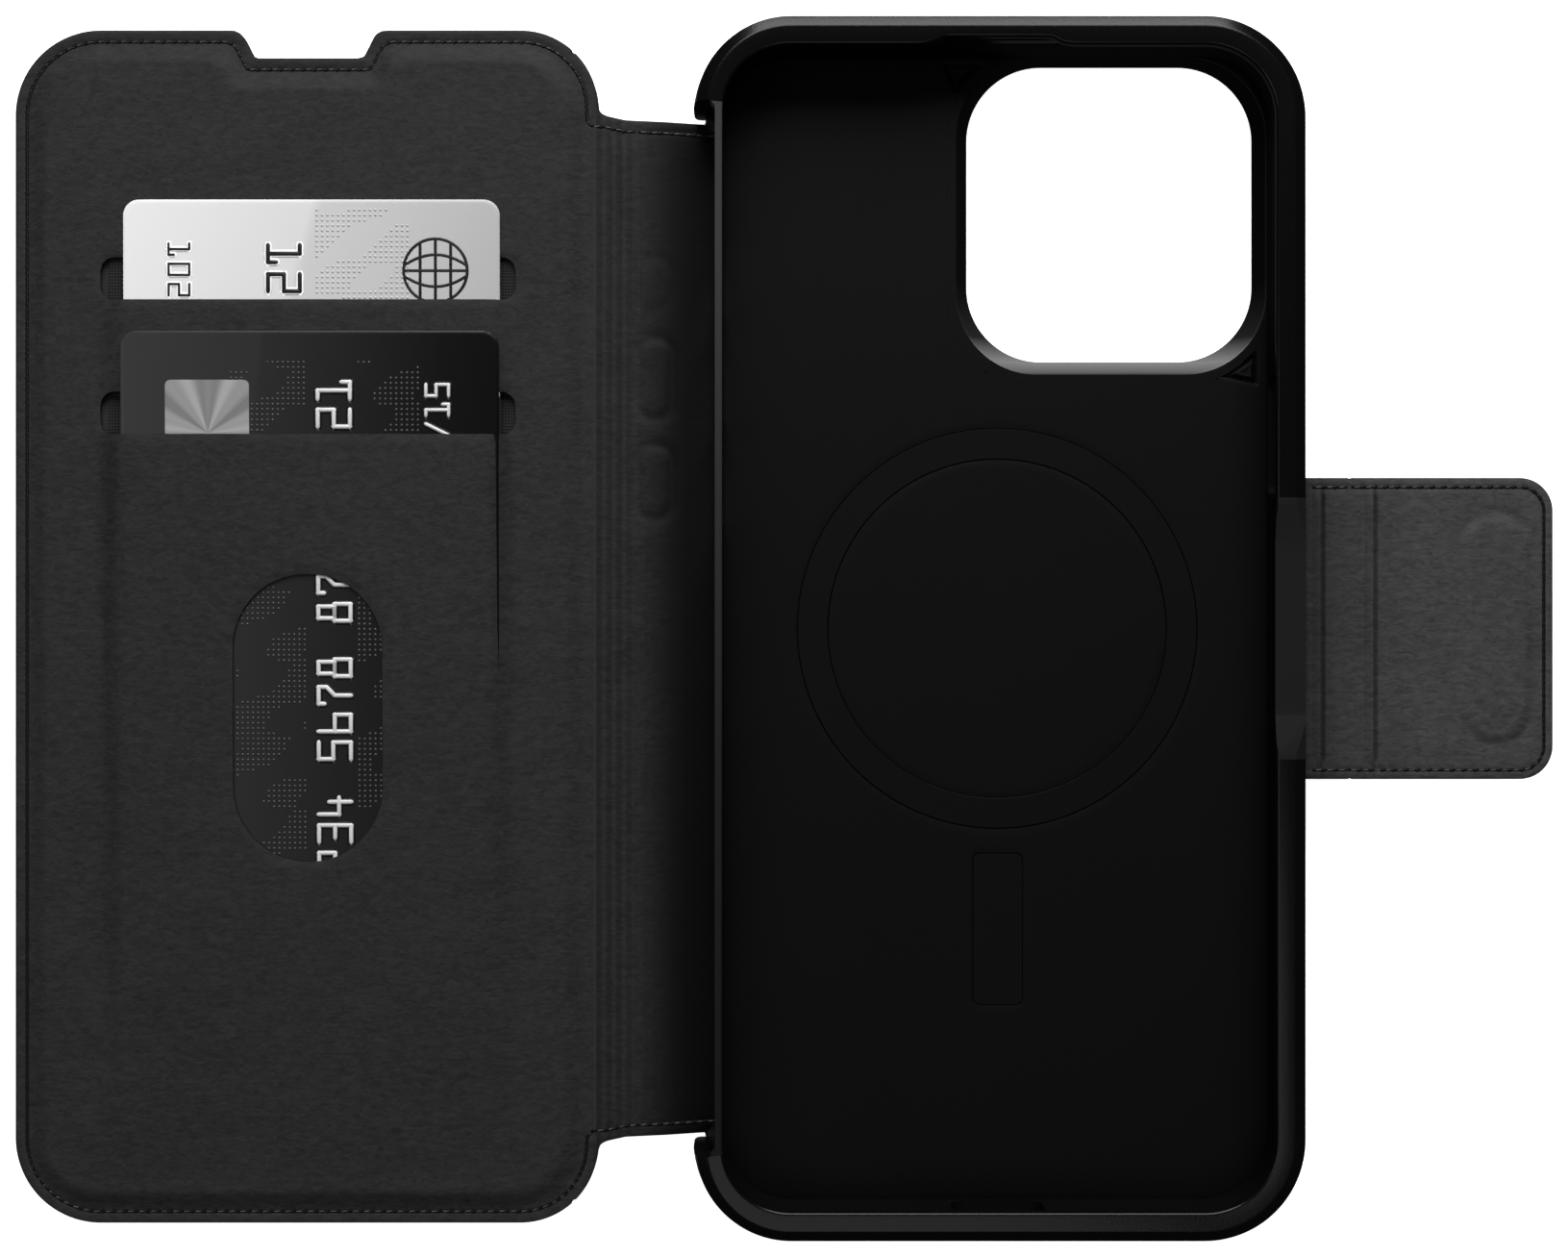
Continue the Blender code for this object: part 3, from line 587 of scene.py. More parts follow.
def over_cards(y):
    """Height of the lining's face where it covers the cards."""
    over = 0.58 + CARD_T
    marks = [COVER[0][1] + 7.0, CARD_LOW[0][1] - 0.3, SLOT_LOW[0], SLOT_LOW[1], SLOT_UP[0], SLOT_UP[1]]
    low, up = card_plane(CARD_LOW, np.array(marks)) + over, card_plane(CARD_UP, np.array(marks)) + over
    return np.interp(y, marks, [RIM_TOP, low[1], low[2], up[3], up[4], RIM_TOP])


def button_rise(x, y):
    """The three pads that press the phone's keys: soft lozenges, each in a shallow groove."""
    rise = 0.0
    for key, height, groove in (("action", 0.02, 0.08), ("volume_up", 0.1, 0.22), ("volume_down", 0.1, 0.22)):
        low, high = node_box(f"button_pad_{key}")
        inside = round_box(x, y, low[0] - 0.7, high[0] - 1.7, low[1], high[1], 2.8)
        rise = rise + height * step_up(inside, 0.4, 1.8) - groove * np.exp(-(((inside - 0.5) / 0.8) ** 2))
    return rise


def ripple(x, y):
    """Moulded ribs along the spine, 1.43 mm apart: highest beside the cover, and none at the key pads."""
    wave = (0.5 + 0.5 * np.cos((x + 24.56) * 2 * math.pi / 1.43)) ** 1.3
    fade = step_up(x, -25.5, -25.0) * (1 - 0.85 * step_up(x, -20.5, -15.5))
    keys = step_up(x, -21.2, -20.4) * step_up(y, 13.2, 14.2) * (1 - step_up(y, 45.0, 45.8))
    ends = 1 - step_up(np.abs(y), 69.0, 70.6)
    return 0.18 * wave * fade * (1 - keys) * ends * (x < FOLD_A - 2.0)


def hem(s, drop=0.14, groove=0.1, inset=HEM):
    """The edge of a sewn sheet: eased at the rim and pulled down in a groove by the thread."""
    return -drop * round_off(s, 0.4) - groove * np.exp(-(((s - inset) / 0.3) ** 2))


def lining_top(x, y, s):
    """The lining's face: a sewn rim, a slightly raised pad, the swell over the cards, then down to the
    spine with its ribs and key pads."""
    around = cover_plan(x, y)
    pad = soft_min(round_box(x, y, EDGE_X + 4.2, FOLD_B - 5.2, EDGE_LOW + 4.2, EDGE_HIGH - 4.2, 8.0),
                   -notch(x, y) - 4.2, 2.0)
    up = np.clip((pad + 2.3) / 2.9, 0, 1)
    flat = RIM_LOW + (RIM_TOP - RIM_LOW) * (0.35 * up + 0.65 * up * up * (3 - 2 * up))
    flat = flat + 0.16 * np.clip(1 - around / HEM, 0, 1)
    side = step_up(np.minimum(x - SLOT[0], SLOT[1] - x), -0.4, 4.0)
    z = flat + np.maximum(over_cards(y) - RIM_TOP, 0) * side
    spine = SKIN + SPINE_LINING + ripple(x, y) + button_rise(x, y)
    z = z + (spine - z) * step_up(x, FOLD_B - 3.4, FOLD_B + 0.2)
    return z + hem(around) - 0.18 * round_off(holes(x, y), 0.6)


def lining_low(x, y, s):
    """The lining's back: on the board, but turned down to the outer leather at the rim."""
    thick = np.where(x > FOLD_B - 2, 0.66, 0.46)
    inner = np.maximum(lining_top(x, y, s) - thick, SKIN)
    return np.where((cover_plan(x, y) < 0.9) | (x > FOLD_B - 1.0), SKIN, inner)


def make_lining():
    """The cover's lining with half of the spine, and the rest of the spine with its end under the tray."""
    xs = lines((EDGE_X - 0.4, EDGE_X + 12, FINE), (EDGE_X + 12, FOLD_B - 4, WIDE),
               (FOLD_B - 4, SPINE_SPLIT, 0.24))
    ys = lines((EDGE_LOW - 0.4, EDGE_LOW + 12.6, FINE), (EDGE_LOW + 12.6, EDGE_HIGH - 12.6, WIDE),
               (EDGE_HIGH - 12.6, EDGE_HIGH + 0.4, FINE))

    def plan(x, y):
        """The outline without the slots, the window and the spine's other half."""
        return np.minimum(np.minimum(cover_plan(x, y), SPINE_SPLIT - x), holes(x, y))

    cover = plate("lining_cover", xs, ys, plan, lining_top, lining_low, "inner_leather", None)
    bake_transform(cover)
    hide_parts("cover_inner_leather")
    xs = lines((SPINE_SPLIT, FOLD_A, 0.24), (FOLD_A, ANCHOR[1][0], 0.5))
    ys = spread(-74.0, 74.0, 0.5)

    def spine_plan(x, y):
        """The spine's half beside the tray, with its glued end."""
        side = np.where(x > FOLD_A, ANCHOR[1][1], spine_half(x)) - np.abs(y)
        return np.minimum(np.minimum(side, x - SPINE_SPLIT), ANCHOR[1][0] - x)

    def spine_top(x, y, s):
        """Ribs, key pads and a sewn hem, tucked slightly down under the tray."""
        z = SKIN + SPINE_LINING + ripple(x, y) + button_rise(x, y) + hem(spine_half(x) - np.abs(y))
        return z - 0.03 * step_up(x, FOLD_A - 1.5, FOLD_A + 0.5)

    spine = plate("lining_spine", xs, ys, spine_plan, spine_top, lambda x, y, s: SKIN + 0 * x,
                  "inner_leather", None)
    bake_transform(spine)
    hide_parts("spine_inner_leather", "spine_anchor_strip", "button_pad_action",
                "button_pad_volume_up", "button_pad_volume_down")


def make_outer_leather():
    """The one outer skin in two lengths: under the cover and half the spine, and on to the tray's back."""
    def under(s):
        """Height of the rounded lower edge."""
        return 0.35 * round_off(s, 0.7)

    def cover_half(x, y):
        """The cover with half of the spine."""
        return np.minimum(cover_plan(x, y), SPINE_SPLIT - x)

    xs = lines((COVER[0][0] - 0.6, FOLD_B - 4, 0.9), (FOLD_B - 4, SPINE_SPLIT, 0.4))
    cover = plate(
        "outer_skin_cover", xs, spread(EDGE_LOW - 0.6, EDGE_HIGH + 0.6, 0.9), cover_half,
        lambda x, y, s: LEATHER + 0 * x, lambda x, y, s: under(cover_plan(x, y)), "outer_leather", None,
    )
    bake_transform(cover)
    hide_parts("cover_outer_leather", "spine_outer_leather")

    def back_plan(x, y):
        """The tray's back with the rest of the spine, and a hole for the cameras."""
        low, high = BACK
        back = round_box(x, y, BUMPER[0][0] + 1.2, high[0], low[1], high[1], 11.0)
        strip = np.minimum(spine_half(x) - np.abs(y), 2.0 - x)
        hole = -round_box(x, y, *surround_outer(0.5))
        return np.minimum(np.minimum(soft_max(back, strip, 0.8), x - SPINE_SPLIT), hole)

    xs = lines((SPINE_SPLIT, FOLD_A + 3, 0.4), (FOLD_A + 3, BACK[1][0] + 0.6, 0.9))
    back = plate(
        "outer_skin_case", xs, spread(BACK[0][1] - 0.6, BACK[1][1] + 0.6, 0.9), back_plan,
        lambda x, y, s: LEATHER + 0 * x,
        lambda x, y, s: under(np.where(x < SPINE_SPLIT + 1, 2.0, s)), "outer_leather", None,
    )
    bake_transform(back)
    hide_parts("back_leather")


# ---------------------------------------------------------------- stitching
def follow(plan, corners, inset, step=0.25):
    """A line at one depth inside a plan: rough corners are joined, and each point is slid along the plan's
    slope to that depth. Returned evenly spaced."""
    corners = np.array(corners, float)
    runs = [
        np.linspace(a, b, max(2, int(np.hypot(*(b - a)) / step)))[:-1] for a, b in zip(corners, corners[1:])
    ]
    line = np.concatenate([*runs, corners[-1:]])
    e = 0.01
    for _ in range(12):
        x, y = line.T
        s = plan(x, y) - inset
        gx = (plan(x + e, y) - plan(x - e, y)) / (2 * e)
        gy = (plan(x, y + e) - plan(x, y - e)) / (2 * e)
        size = np.maximum(gx**2 + gy**2, 0.05)
        line = line - 0.7 * np.stack([s * gx / size, s * gy / size], 1)
    along = np.concatenate([[0], np.cumsum(np.hypot(*np.diff(line, axis=0).T))])
    even = np.arange(0, along[-1], step)
    return np.stack([np.interp(even, along, line[:, k]) for k in (0, 1)], 1)


def tube_faces(count, rings, around):
    """Corner numbers of many small closed tubes, each a grid of rings with a flat end at both ends."""
    one = [list(f) for f in quads(rings, around, False, True)]
    ends = [list(range(around))[::-1], list(range((rings - 1) * around, rings * around))]
    size = rings * around
    return [[c + i * size for c in f] for i in range(count) for f in (*one, *ends)]


def capsules(centres, ways, lengths, width, height, around=6, rings=5):
    """Many small rounded rods: centre, level direction and length of each, as one grid of points."""
    t = np.linspace(-1, 1, rings + 2)[1:-1]
    a = np.linspace(0, 2 * np.pi, around, endpoint=False)
    taper = np.sqrt(np.clip(1 - np.abs(t) ** 2.6, 0.12, 1))
    side = np.stack([-ways[:, 1], ways[:, 0]], 1)
    flat = (
        centres[:, None, None, :2]
        + ways[:, None, None, :] * (lengths[:, None, None, None] / 2 * t[None, :, None, None])
        + side[:, None, None, :] * (width * taper[None, :, None, None] * np.cos(a)[None, None, :, None])
    )
    z = centres[:, None, None, 2] + height * taper[None, :, None] * np.sin(a)[None, None, :]
    points = np.concatenate([flat, z[..., None]], -1)
    return points.reshape(-1, 3), tube_faces(len(centres), rings, around)


def stitching(name, line, height, body, replaced, pitch=(0.89, 1.62)):
    """Lock stitch in bonded thread: a dark line in the groove, which is dark thread and painted shade, a dark
    bead at each needle hole, which is a painted shadow, and a paler top thread between holes, which is a
    painted glint. Stitches are longer where the line runs along X."""
    x, y = line.T
    z = height(x, y)
    way = np.gradient(line, axis=0)
    way = way / np.hypot(*way.T)[:, None]
    gap = pitch[0] + (pitch[1] - pitch[0]) * np.abs(way[:, 0]) ** 2
    along = np.concatenate([[0], np.cumsum(np.hypot(*np.diff(line, axis=0).T) / gap[1:])])
    marks = np.arange(0.5, along[-1], 1.0)

    def at(values, places):
        """A quantity at places counted in stitches."""
        return np.interp(places, along, values)

    def place(places, lift):
        """Points on the line, raised a little."""
        return np.stack([at(x, places), at(y, places), at(z, places) + lift], 1)

    def turned(places, angle):
        """Directions along the line, turned by an angle."""
        w = np.stack([at(way[:, 0], places), at(way[:, 1], places)], 1)
        w = w / np.hypot(*w.T)[:, None]
        c, s = math.cos(angle), math.sin(angle)
        return np.stack([w[:, 0] * c - w[:, 1] * s, w[:, 0] * s + w[:, 1] * c], 1)

    run = at(gap, marks)
    # the dark line along the groove: dark thread and painted shade of the groove
    under, thread_and_groove_shade_faces = capsules(place(marks, 0.08), turned(marks, 0.0), run * 1.5, 0.22, 0.09)
    # painted shadow: a dark bead at each needle hole
    holes_at = marks[:-1] + 0.5
    painted_hole_shadow_length = at(gap, holes_at) * 0.6
    painted_hole_shadow, painted_hole_shadow_faces = capsules(place(holes_at, 0.1), turned(holes_at, 0.35), painted_hole_shadow_length, 0.28, 0.12)
    # painted glint: the paler thread on top of each stitch
    top_length = np.maximum(run * 1.5 - 1.3, 0.02)
    tops, top_faces = capsules(place(marks, 0.15), turned(marks, 0.12), top_length, 0.08, 0.08)
    points = np.concatenate([under, painted_hole_shadow, tops])
    n, m = len(under), len(under) + len(painted_hole_shadow)
    faces = thread_and_groove_shade_faces + [[c + n for c in f] for f in painted_hole_shadow_faces] + [[c + m for c in f] for f in top_faces]
    thing = piece(name, points, faces, "thread", body)
    thing.data.materials.append(LOOK["thread_glint"])
    painted_glint = np.repeat([0, 0, 1], [len(thread_and_groove_shade_faces), len(painted_hole_shadow_faces), len(top_faces)])
    thing.data.polygons.foreach_set("material_index", painted_glint.astype(np.int32))
    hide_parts(*replaced)
    return thing


def make_stitching():
    """Round the cover and along both ends of the spine."""
    high, left = COVER[1][1], COVER[0][0]
    half = [
        (SPINE_SPLIT + 0.1, 70.8), (FOLD_B, 71.5), (FOLD_B - 3.5, 75.0), (FOLD_B - 6, high - 5),
        (-36, high - 2), (-55.5, high - 2), (-58.2, high - 4), (-60.6, high - 6), (-73.6, high - 6),
        (-76.2, high - 4), (-78.8, high - 2), (left + 12, high - 2), (left + 5, high - 5),
        (left + 2, high - 12),
    ]
    route = half + [(x, -y) for x, y in half[::-1] if not -79 < x < -53]

    def sewn(x, y):
        """Height of the stitches, a little into the lining."""
        return lining_top(x, y, None) - 0.02

    cover = stitching("stitching_cover", follow(cover_plan, route, HEM), sewn, None, ["cover_thread"])
    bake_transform(cover)

    def strip(x, y):
        """Depth inside the spine's two long edges."""
        return spine_half(x) - np.abs(y)

    for side, end in ((1, "top"), (-1, "bottom")):
        line = follow(strip, [(SPINE_SPLIT + 0.5, side * 70.8), (SPINE_LINE_END, side * 70.5)], HEM)
        row = stitching(f"stitching_spine_{end}", line, lambda x, y: 0 * x + SKIN + SPINE_LINING - 0.13, None,
                        [f"spine_thread_{end}"])
        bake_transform(row)


# ---------------------------------------------------------------- the moulded tray
def surround_outer(grow=0.0):
    """The camera surround's outer outline."""
    low, high = SURROUND
    return (low[0] - grow, high[0] + grow, low[1] - grow, high[1] + grow, 12.0 + grow)


def pocket_path(grow=0.0):
    """Outline of the tray's pocket, moved outwards."""
    return round_path(MID_X - 39.1 - grow, MID_X + 38.9 + grow, -81.9 - grow, 81.9 + grow, 9.8 + grow)


def window_cutters(depth=7.0):
    """The openings in the side walls: three for key pads, one for the side key, one for the plug."""
    left, right, low = BUMPER[0][0], BUMPER[1][0], BUMPER[0][1]
    made = []
    for key in ("action", "volume_up", "volume_down"):
        a, b = node_box(f"button_pad_{key}")
        made.append(box_cutter(left - 3, left + depth, a[1] - 0.4, b[1] + 0.4, 3.5, 11.1, 0.8, "x"))
    made.append(box_cutter(right - depth, right + 3, 19.0, 36.0, 3.6, 9.0, 1.6, "x"))
    made.append(box_cutter(MID_X - 6.8, MID_X + 6.4, low - 3, low + depth, 3.6, 10.0, 2.4, "y"))
    return made


def recess_cutter():
    """Room in the tray's left side for the closed spine."""
    return box_cutter(BUMPER[0][0] - 5, ANCHOR[0][0] + 0.1, -RECESS, RECESS, -1, 20, 1.2)


def make_bumper():
    """Outer ring: a bowed side, a crisp bevel, a flat lip with a fine rounded edge, and a step over the
    shell. The lip is narrower for a short stretch beside the camera, and along the spine."""
    low, high = BUMPER
    points, outs = round_path(low[0] - 0.45, high[0], low[1], high[1], 14.8, arc=30, step=1.5, left=13.9)
    t = np.radians(np.linspace(0, 90, 7))
    shoulder = [(0.06, 7.5), (0.25, 9.4), (0.5, 11.2), (0.66, 11.85), (0.74, 12.12),
                (2.02, 12.81), (2.16, 12.87), (2.3, 12.9)]
    inner_edge = np.stack([4.45 + 0.45 * np.sin(t), 12.45 + 0.45 * np.cos(t)], 1)
    outline = np.concatenate([
        [(2.4, 0.8), (0.9, 0.8), (0.3, 1.2), (0.0, 2.4), (0.0, 5.5)], shoulder,
        [(2.5, 12.9)], inner_edge, [(4.9, 11.6), (4.0, 11.4), (4.0, 10.0), (2.4, 10.0)],
    ])
    profile = np.repeat(outline[None], len(points), 0)
    short = (outs[:, 1] > 0.999) * step_up(points[:, 0], 21.4, 23.2) * (1 - step_up(points[:, 0], 38.4, 41.0))
    lip = outline[:, 0] > 4.1
    narrow = 1.05 * short + 0.45 * np.clip(-outs[:, 0], 0, 1) ** 2
    profile[:, :, 0] -= narrow[:, None] * lip[None, :]
    ring = sweep("bumper", points, outs, profile, "bumper", "case")
    right = high[0]
    saddle = [(-12.1, 11.9), (12.1, 11.9), (18.2, 13.05), (-18.2, 13.05)]
    near, far = ([(x, *p) for p in saddle] for x in (right - 9, right + 3))
    slot = box_cutter(right - 1.9, right + 3, -21.0, 21.0, 9.55, 11.25, 0.5, "x")
    carve(ring, recess_cutter(), block(near, far), slot, *window_cutters())
    ring.data.materials.append(LOOK["hinge_lip_painted_light"])
    ring.data.materials.append(LOOK["saddle"])
    # The left lip's top faces take a colour with painted light, brighter towards +Y; the saddle's top faces
    # take the saddle's colour.
    for face in ring.data.polygons:
        x, y, z = face.center / MM
        if x < low[0] + 6 and abs(y) < 73.3 and z > 12.5 and face.normal.z > 0.7:
            face.material_index = 1
        if x > right - 6 and abs(y) < 18.0 and z > 11.5 and face.normal.z > 0.7:
            face.material_index = 2
    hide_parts("bumper_frame")


def make_shell():
    """Inner shell: the walls, and the floor with seats for the magnets' covers and two engraved triangles
    beside the camera opening."""
    points, outs = pocket_path()
    wall = [(0.0, 2.9), (0.0, 9.6), (-0.25, 9.9), (-1.5, 9.9), (-1.5, 0.85), (-0.2, 0.85)]
    walls = sweep("shell_walls", points, outs, wall, "shell", "case")
    under = box_cutter(ANCHOR[0][0] - 5, ANCHOR[1][0] + 0.2, -71.8, 71.8, -1, 1.62)
    carve(walls, recess_cutter(), under, surround_cutter(), *window_cutters())
    ring_x = (RING_LID[0][0] + RING_LID[1][0]) / 2
    bar = node_box("orientation_magnet_cover")

    def plan(x, y):
        """The floor without the ring's and the bar's seats and the camera opening."""
        room = round_box(x, y, MID_X - 39.3, MID_X + 39.1, -82.1, 82.1, 10.0)
        r = np.hypot(x - ring_x, y)
        ring = np.minimum(r - 24.22, 28.78 - r)
        seat = round_box(x, y, bar[0][0] - 0.12, bar[1][0] + 0.12, bar[0][1] - 0.12, bar[1][1] + 0.12, 1.0)
        hole = round_box(x, y, *surround_outer(0.02))
        return np.minimum(room, -np.maximum(np.maximum(ring, seat), hole))

    def triangle(x, y, corners):
        """Depth inside a triangle, from its corners taken anticlockwise."""
        depth = 9.0
        for (ax, ay), (bx, by) in zip(corners, corners[1:] + corners[:1]):
            length = math.hypot(bx - ax, by - ay)
            depth = np.minimum(depth, ((bx - ax) * (y - ay) - (by - ay) * (x - ax)) / length)
        return depth

    def top(x, y, s):
        """The floor's face: an engraved line inside each triangle, and eased edges at the seats."""
        one = triangle(x, y, [(24.3, 81.0), (25.9, 76.9), (29.7, 81.0)])
        two = triangle(x, y, [(64.1, 36.2), (69.3, 35.0), (69.3, 39.6)])
        inside = np.maximum(one, two)
        sink = 0.6 * np.exp(-(((inside - 0.3) / 0.26) ** 2)) - 0.12 * np.exp(-(((inside - 0.85) / 0.16) ** 2))
        beside = round_box(x, y, *surround_outer(0.5)) > 0
        return FLOOR_Z - sink - np.where(beside, 0.0, 0.08 * (1 - step_up(s, 0, 0.3)))

    def low(x, y, s):
        """The floor's back, raised over the glued end of the spine."""
        return np.where((x < ANCHOR[1][0] + 0.7) & (np.abs(y) < 72.3), 1.62, 0.85)

    xs = lines((MID_X - 39.8, 24.0, 0.56), (24.0, 30.2, 0.2), (30.2, 63.8, 0.56), (63.8, MID_X + 39.6, 0.2))
    ys = lines((-82.6, 34.6, 0.56), (34.6, 40.6, 0.2), (40.6, 76.4, 0.56), (76.4, 82.6, 0.2))
    floor = plate("shell_floor", xs, ys, plan, top, low, "shell", "case")
    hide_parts("hard_shell")


def surround_cutter():
    """Everything inside the camera surround's outer outline, up to just over the floor."""
    loop, _ = round_path(*surround_outer(0.1), step=STRAIGHT)
    return block(*[np.column_stack([loop, np.full(len(loop), h)]) for h in (-1.0, FLOOR_Z + 0.12)])


def make_surround():
    """Camera surround: a flat-topped ring whose opening slopes in towards the back."""
    outer = surround_outer()
    rim, opening = (26.2, 70.5, 36.6, 81.9, 11.5), (27.9, 69.1, 38.65, 81.2, 10.7)

    def between(t, grow=0.0):
        """An outline part of the way from the opening to the rim, moved outwards."""
        a = [o + (r - o) * t for o, r in zip(opening, rim)]
        return (a[0] - grow, a[1] + grow, a[2] - grow, a[3] + grow, a[4] + grow)

    levels = [
        (surround_outer(0.45), 0.15), (surround_outer(0.45), 0.8), (outer, 0.8), (outer, FLOOR_Z),
        (between(1.0, 0.16), FLOOR_Z), (between(0.97, 0.02), 3.02), (between(0.9), 2.8), (between(0.5), 1.6),
        (between(0.12), 0.4), (between(0.02, 0.02), 0.12), (between(0.0, 0.2), 0.0),
    ]
    loops = [(round_path(*outline, step=STRAIGHT)[0], z) for outline, z in levels]
    rows = [np.column_stack([loop, np.full(len(loop), z)]) for loop, z in loops]
    faces = quads(len(rows), len(rows[0]), True, True)[:, ::-1]
    ring = piece("camera_ring", np.concatenate(rows), faces, "surround", "case")
    # The opening's slopes take the surround colour with its painted highlight; the flat tops take the shell's
    # colour.
    ring.data.materials.append(LOOK["shell"])
    for face in ring.data.polygons:
        face.material_index = int(face.normal.z > 0.99)
    crisp(ring, 20)
    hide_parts("camera_surround")


def make_lids():
    """The flush cover over the charging ring's magnets."""
    low, high = RING_LID
    t = np.linspace(0, 2 * np.pi, 160, endpoint=False)
    outs = np.stack([np.cos(t), np.sin(t)], 1)
    path = outs * 28.68 + [(low[0] + high[0]) / 2, 0]
    bottom, brink, top = low[2], high[2] - 0.1, high[2]
    profile = [(0, bottom), (0, brink), (0.1, top), (4.26, top), (4.36, brink), (4.36, bottom)]
    lid = sweep("ring_lid", path, outs, profile, "lid", "case")
    crisp(lid)
    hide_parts("magnet_cover_ring")


# ---------------------------------------------------------------- the closing strap
def tab_plan(x, y):
    """The strap's outline: round corners at its free end."""
    return round_box(x, y, 60.0, FLAP[1][0] - 0.35, FLAP[0][1] - 0.15, FLAP[1][1] + 0.15, 4.6)


def tab_top(x, y, s):
    """The strap's face: sewn hem, a raised bead and a crease at each fold, and the magnet showing through."""
    z = FLAP[1][2] + hem(tab_plan(x, y), 0.25, 0.16, TAB_HEM)
    inside = 1 - step_up(np.abs(y), 18.4, 19.0)
    for fold in (TAB_1, TAB_2):
        bead = 0.26 * bump_at(x, fold - 0.66, 0.5) - 0.45 * bump_at(x, fold, 0.26)
        z = z + (bead - 0.12 * bump_at(x, fold - 1.35, 0.2)) * (0.25 + 0.75 * inside)
    low, high = TAB_MAGNET
    middle, far = (low[0] + high[0]) / 2 - 0.5, high[1] + 0.4
    magnet = round_box(x, y, middle - 4.9, middle + 4.9, -far, far, 4.9)
    return z + 0.3 * step_up(magnet, -0.2, 1.2) - 0.12 * np.exp(-(((magnet + 0.4) / 0.7) ** 2))


def make_tab():
    """Inner and outer leather of the strap, each in two lengths that meet halfway along the link."""
    middle = (TAB_1 + TAB_2) / 2
    start, end = TAB_ROOT[0][0], FLAP[1][0]
    skin_low = FLAP[0][2]
    boss_low, under = FLAP_BACK[0][2], FLAP_BACK[1][2] - 0.7
    boss_from, boss_to = TAB_MAGNET[0] - 1.2, TAB_MAGNET[1] + 1.2

    def under_side(x, y, s):
        """The outer leather's face, with a soft boss under the magnet."""
        boss = round_box(x, y, boss_from[0], boss_to[0], boss_from[1], boss_to[1], 4.6)
        edge = 0.3 * round_off(tab_plan(x, y), 0.6)
        return under - (under - boss_low) * step_up(boss, -0.2, 1.0) + edge

    for part, low, high, bodies, at in (
        ("root", start, middle, ("case", "tab_link"), TAB_1),
        ("flap", middle, end, ("tab_link", "tab_flap"), TAB_2),
    ):
        def plan(x, y, low=low, high=high):
            """One length of the strap."""
            return np.minimum(tab_plan(x, y), np.minimum(x - low, high - x + (high == end)))

        xs = lines((low - 0.1, at - 2.5, 0.4), (at - 2.5, at + 2.5, 0.13), (at + 2.5, high + 0.2, 0.45))
        ys = spread(FLAP[0][1] - 0.4, FLAP[1][1] + 0.4, 0.42)
        inner = plate(f"tab_inner_{part}", xs, ys, plan, tab_top, lambda x, y, s: skin_low + 0 * x,
                      "tab_leather", None)
        outer = plate(f"tab_outer_{part}", xs, ys, plan, lambda x, y, s: skin_low - 0.08 + 0 * x, under_side,
                      "outer_leather", None)
        for sheet in (inner, outer):
            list(bodies)
            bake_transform(sheet)
        if part == "root":
            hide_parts("tab_anchor_inner", "tab_link_inner_leather")
            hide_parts("tab_anchor_outer", "tab_link_outer_leather")
        else:
            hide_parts("tab_flap_inner_leather")
            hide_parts("tab_flap_outer_leather")

    def sewn(x, y):
        """Height of the stitches, a little into the leather."""
        return tab_top(x, y, None) - 0.02

    half = FLAP[1][1]
    for side, name in ((1, "top"), (-1, "bottom")):
        y = side * (half - 2)
        line = follow(tab_plan, [(BUMPER[1][0] + 0.5, y), (middle - 0.2, y)], TAB_HEM)
        row = stitching(f"stitching_link_{name}", line, sewn, None, [f"tab_link_thread_{name}"])
        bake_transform(row)
    route = [(middle + 0.2, half - 2), (end - 5, half - 2), (end - 2, half - 5)]
    route += [(x, -y) for x, y in route[::-1]]
    row = stitching("stitching_flap", follow(tab_plan, route, TAB_HEM), sewn, None, ["tab_thread"])
    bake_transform(row)


# ---------------------------------------------------------------- cards
def card_sheet(name, card, look, body):
    """A card: a round-cornered sheet in its sloping plane, with eased edges."""
    low, high = card

    def plan(x, y):
        """The card's outline."""
        return round_box(x, y, low[0], high[0], low[1], high[1], CARD_R)

    def ease(s):
        """How far an edge has dropped."""
        return 0.1 * (1 - step_up(s, 0, 0.25))

    xs, ys = (
        lines((a - 0.4, a + 4, 0.3), (a + 4, b - 4, 1.4), (b - 4, b + 0.4, 0.3))
        for a, b in zip(low[:2], high[:2])
    )
    return plate(name, xs, ys, plan, lambda x, y, s: card_plane(card, y) + CARD_T - ease(s),
                 lambda x, y, s: card_plane(card, y) + ease(s), look, body)


def rods(starts, ends, width, height, around=8):
    """Rounded bars between pairs of points: full width from one to the other, and half-round beyond both."""
    reach = np.array([-1.0, -0.72, 0.0, 0.0, 0.72, 1.0])
    rings = len(reach)
    taper = np.sqrt(1 - 0.94 * reach**2)
    span = ends - starts
    way = span / np.linalg.norm(span, axis=1)[:, None]
    side = np.stack([-way[:, 1], way[:, 0], 0 * way[:, 0]], 1)
    side = side / np.linalg.norm(side, axis=1)[:, None]
    nearer = (np.arange(rings) >= rings / 2)[None, :, None]
    middle = np.where(nearer, ends[:, None], starts[:, None]) + way[:, None] * (width * reach)[None, :, None]
    a = np.linspace(0, 2 * np.pi, around, endpoint=False)
    points = middle[:, :, None] + side[:, None, None] * (width * taper[:, None] * np.cos(a))[None, :, :, None]
    points[..., 2] += (height * taper[:, None] * np.sin(a))[None]
    return points.reshape(-1, 3), tube_faces(len(starts), rings, around)


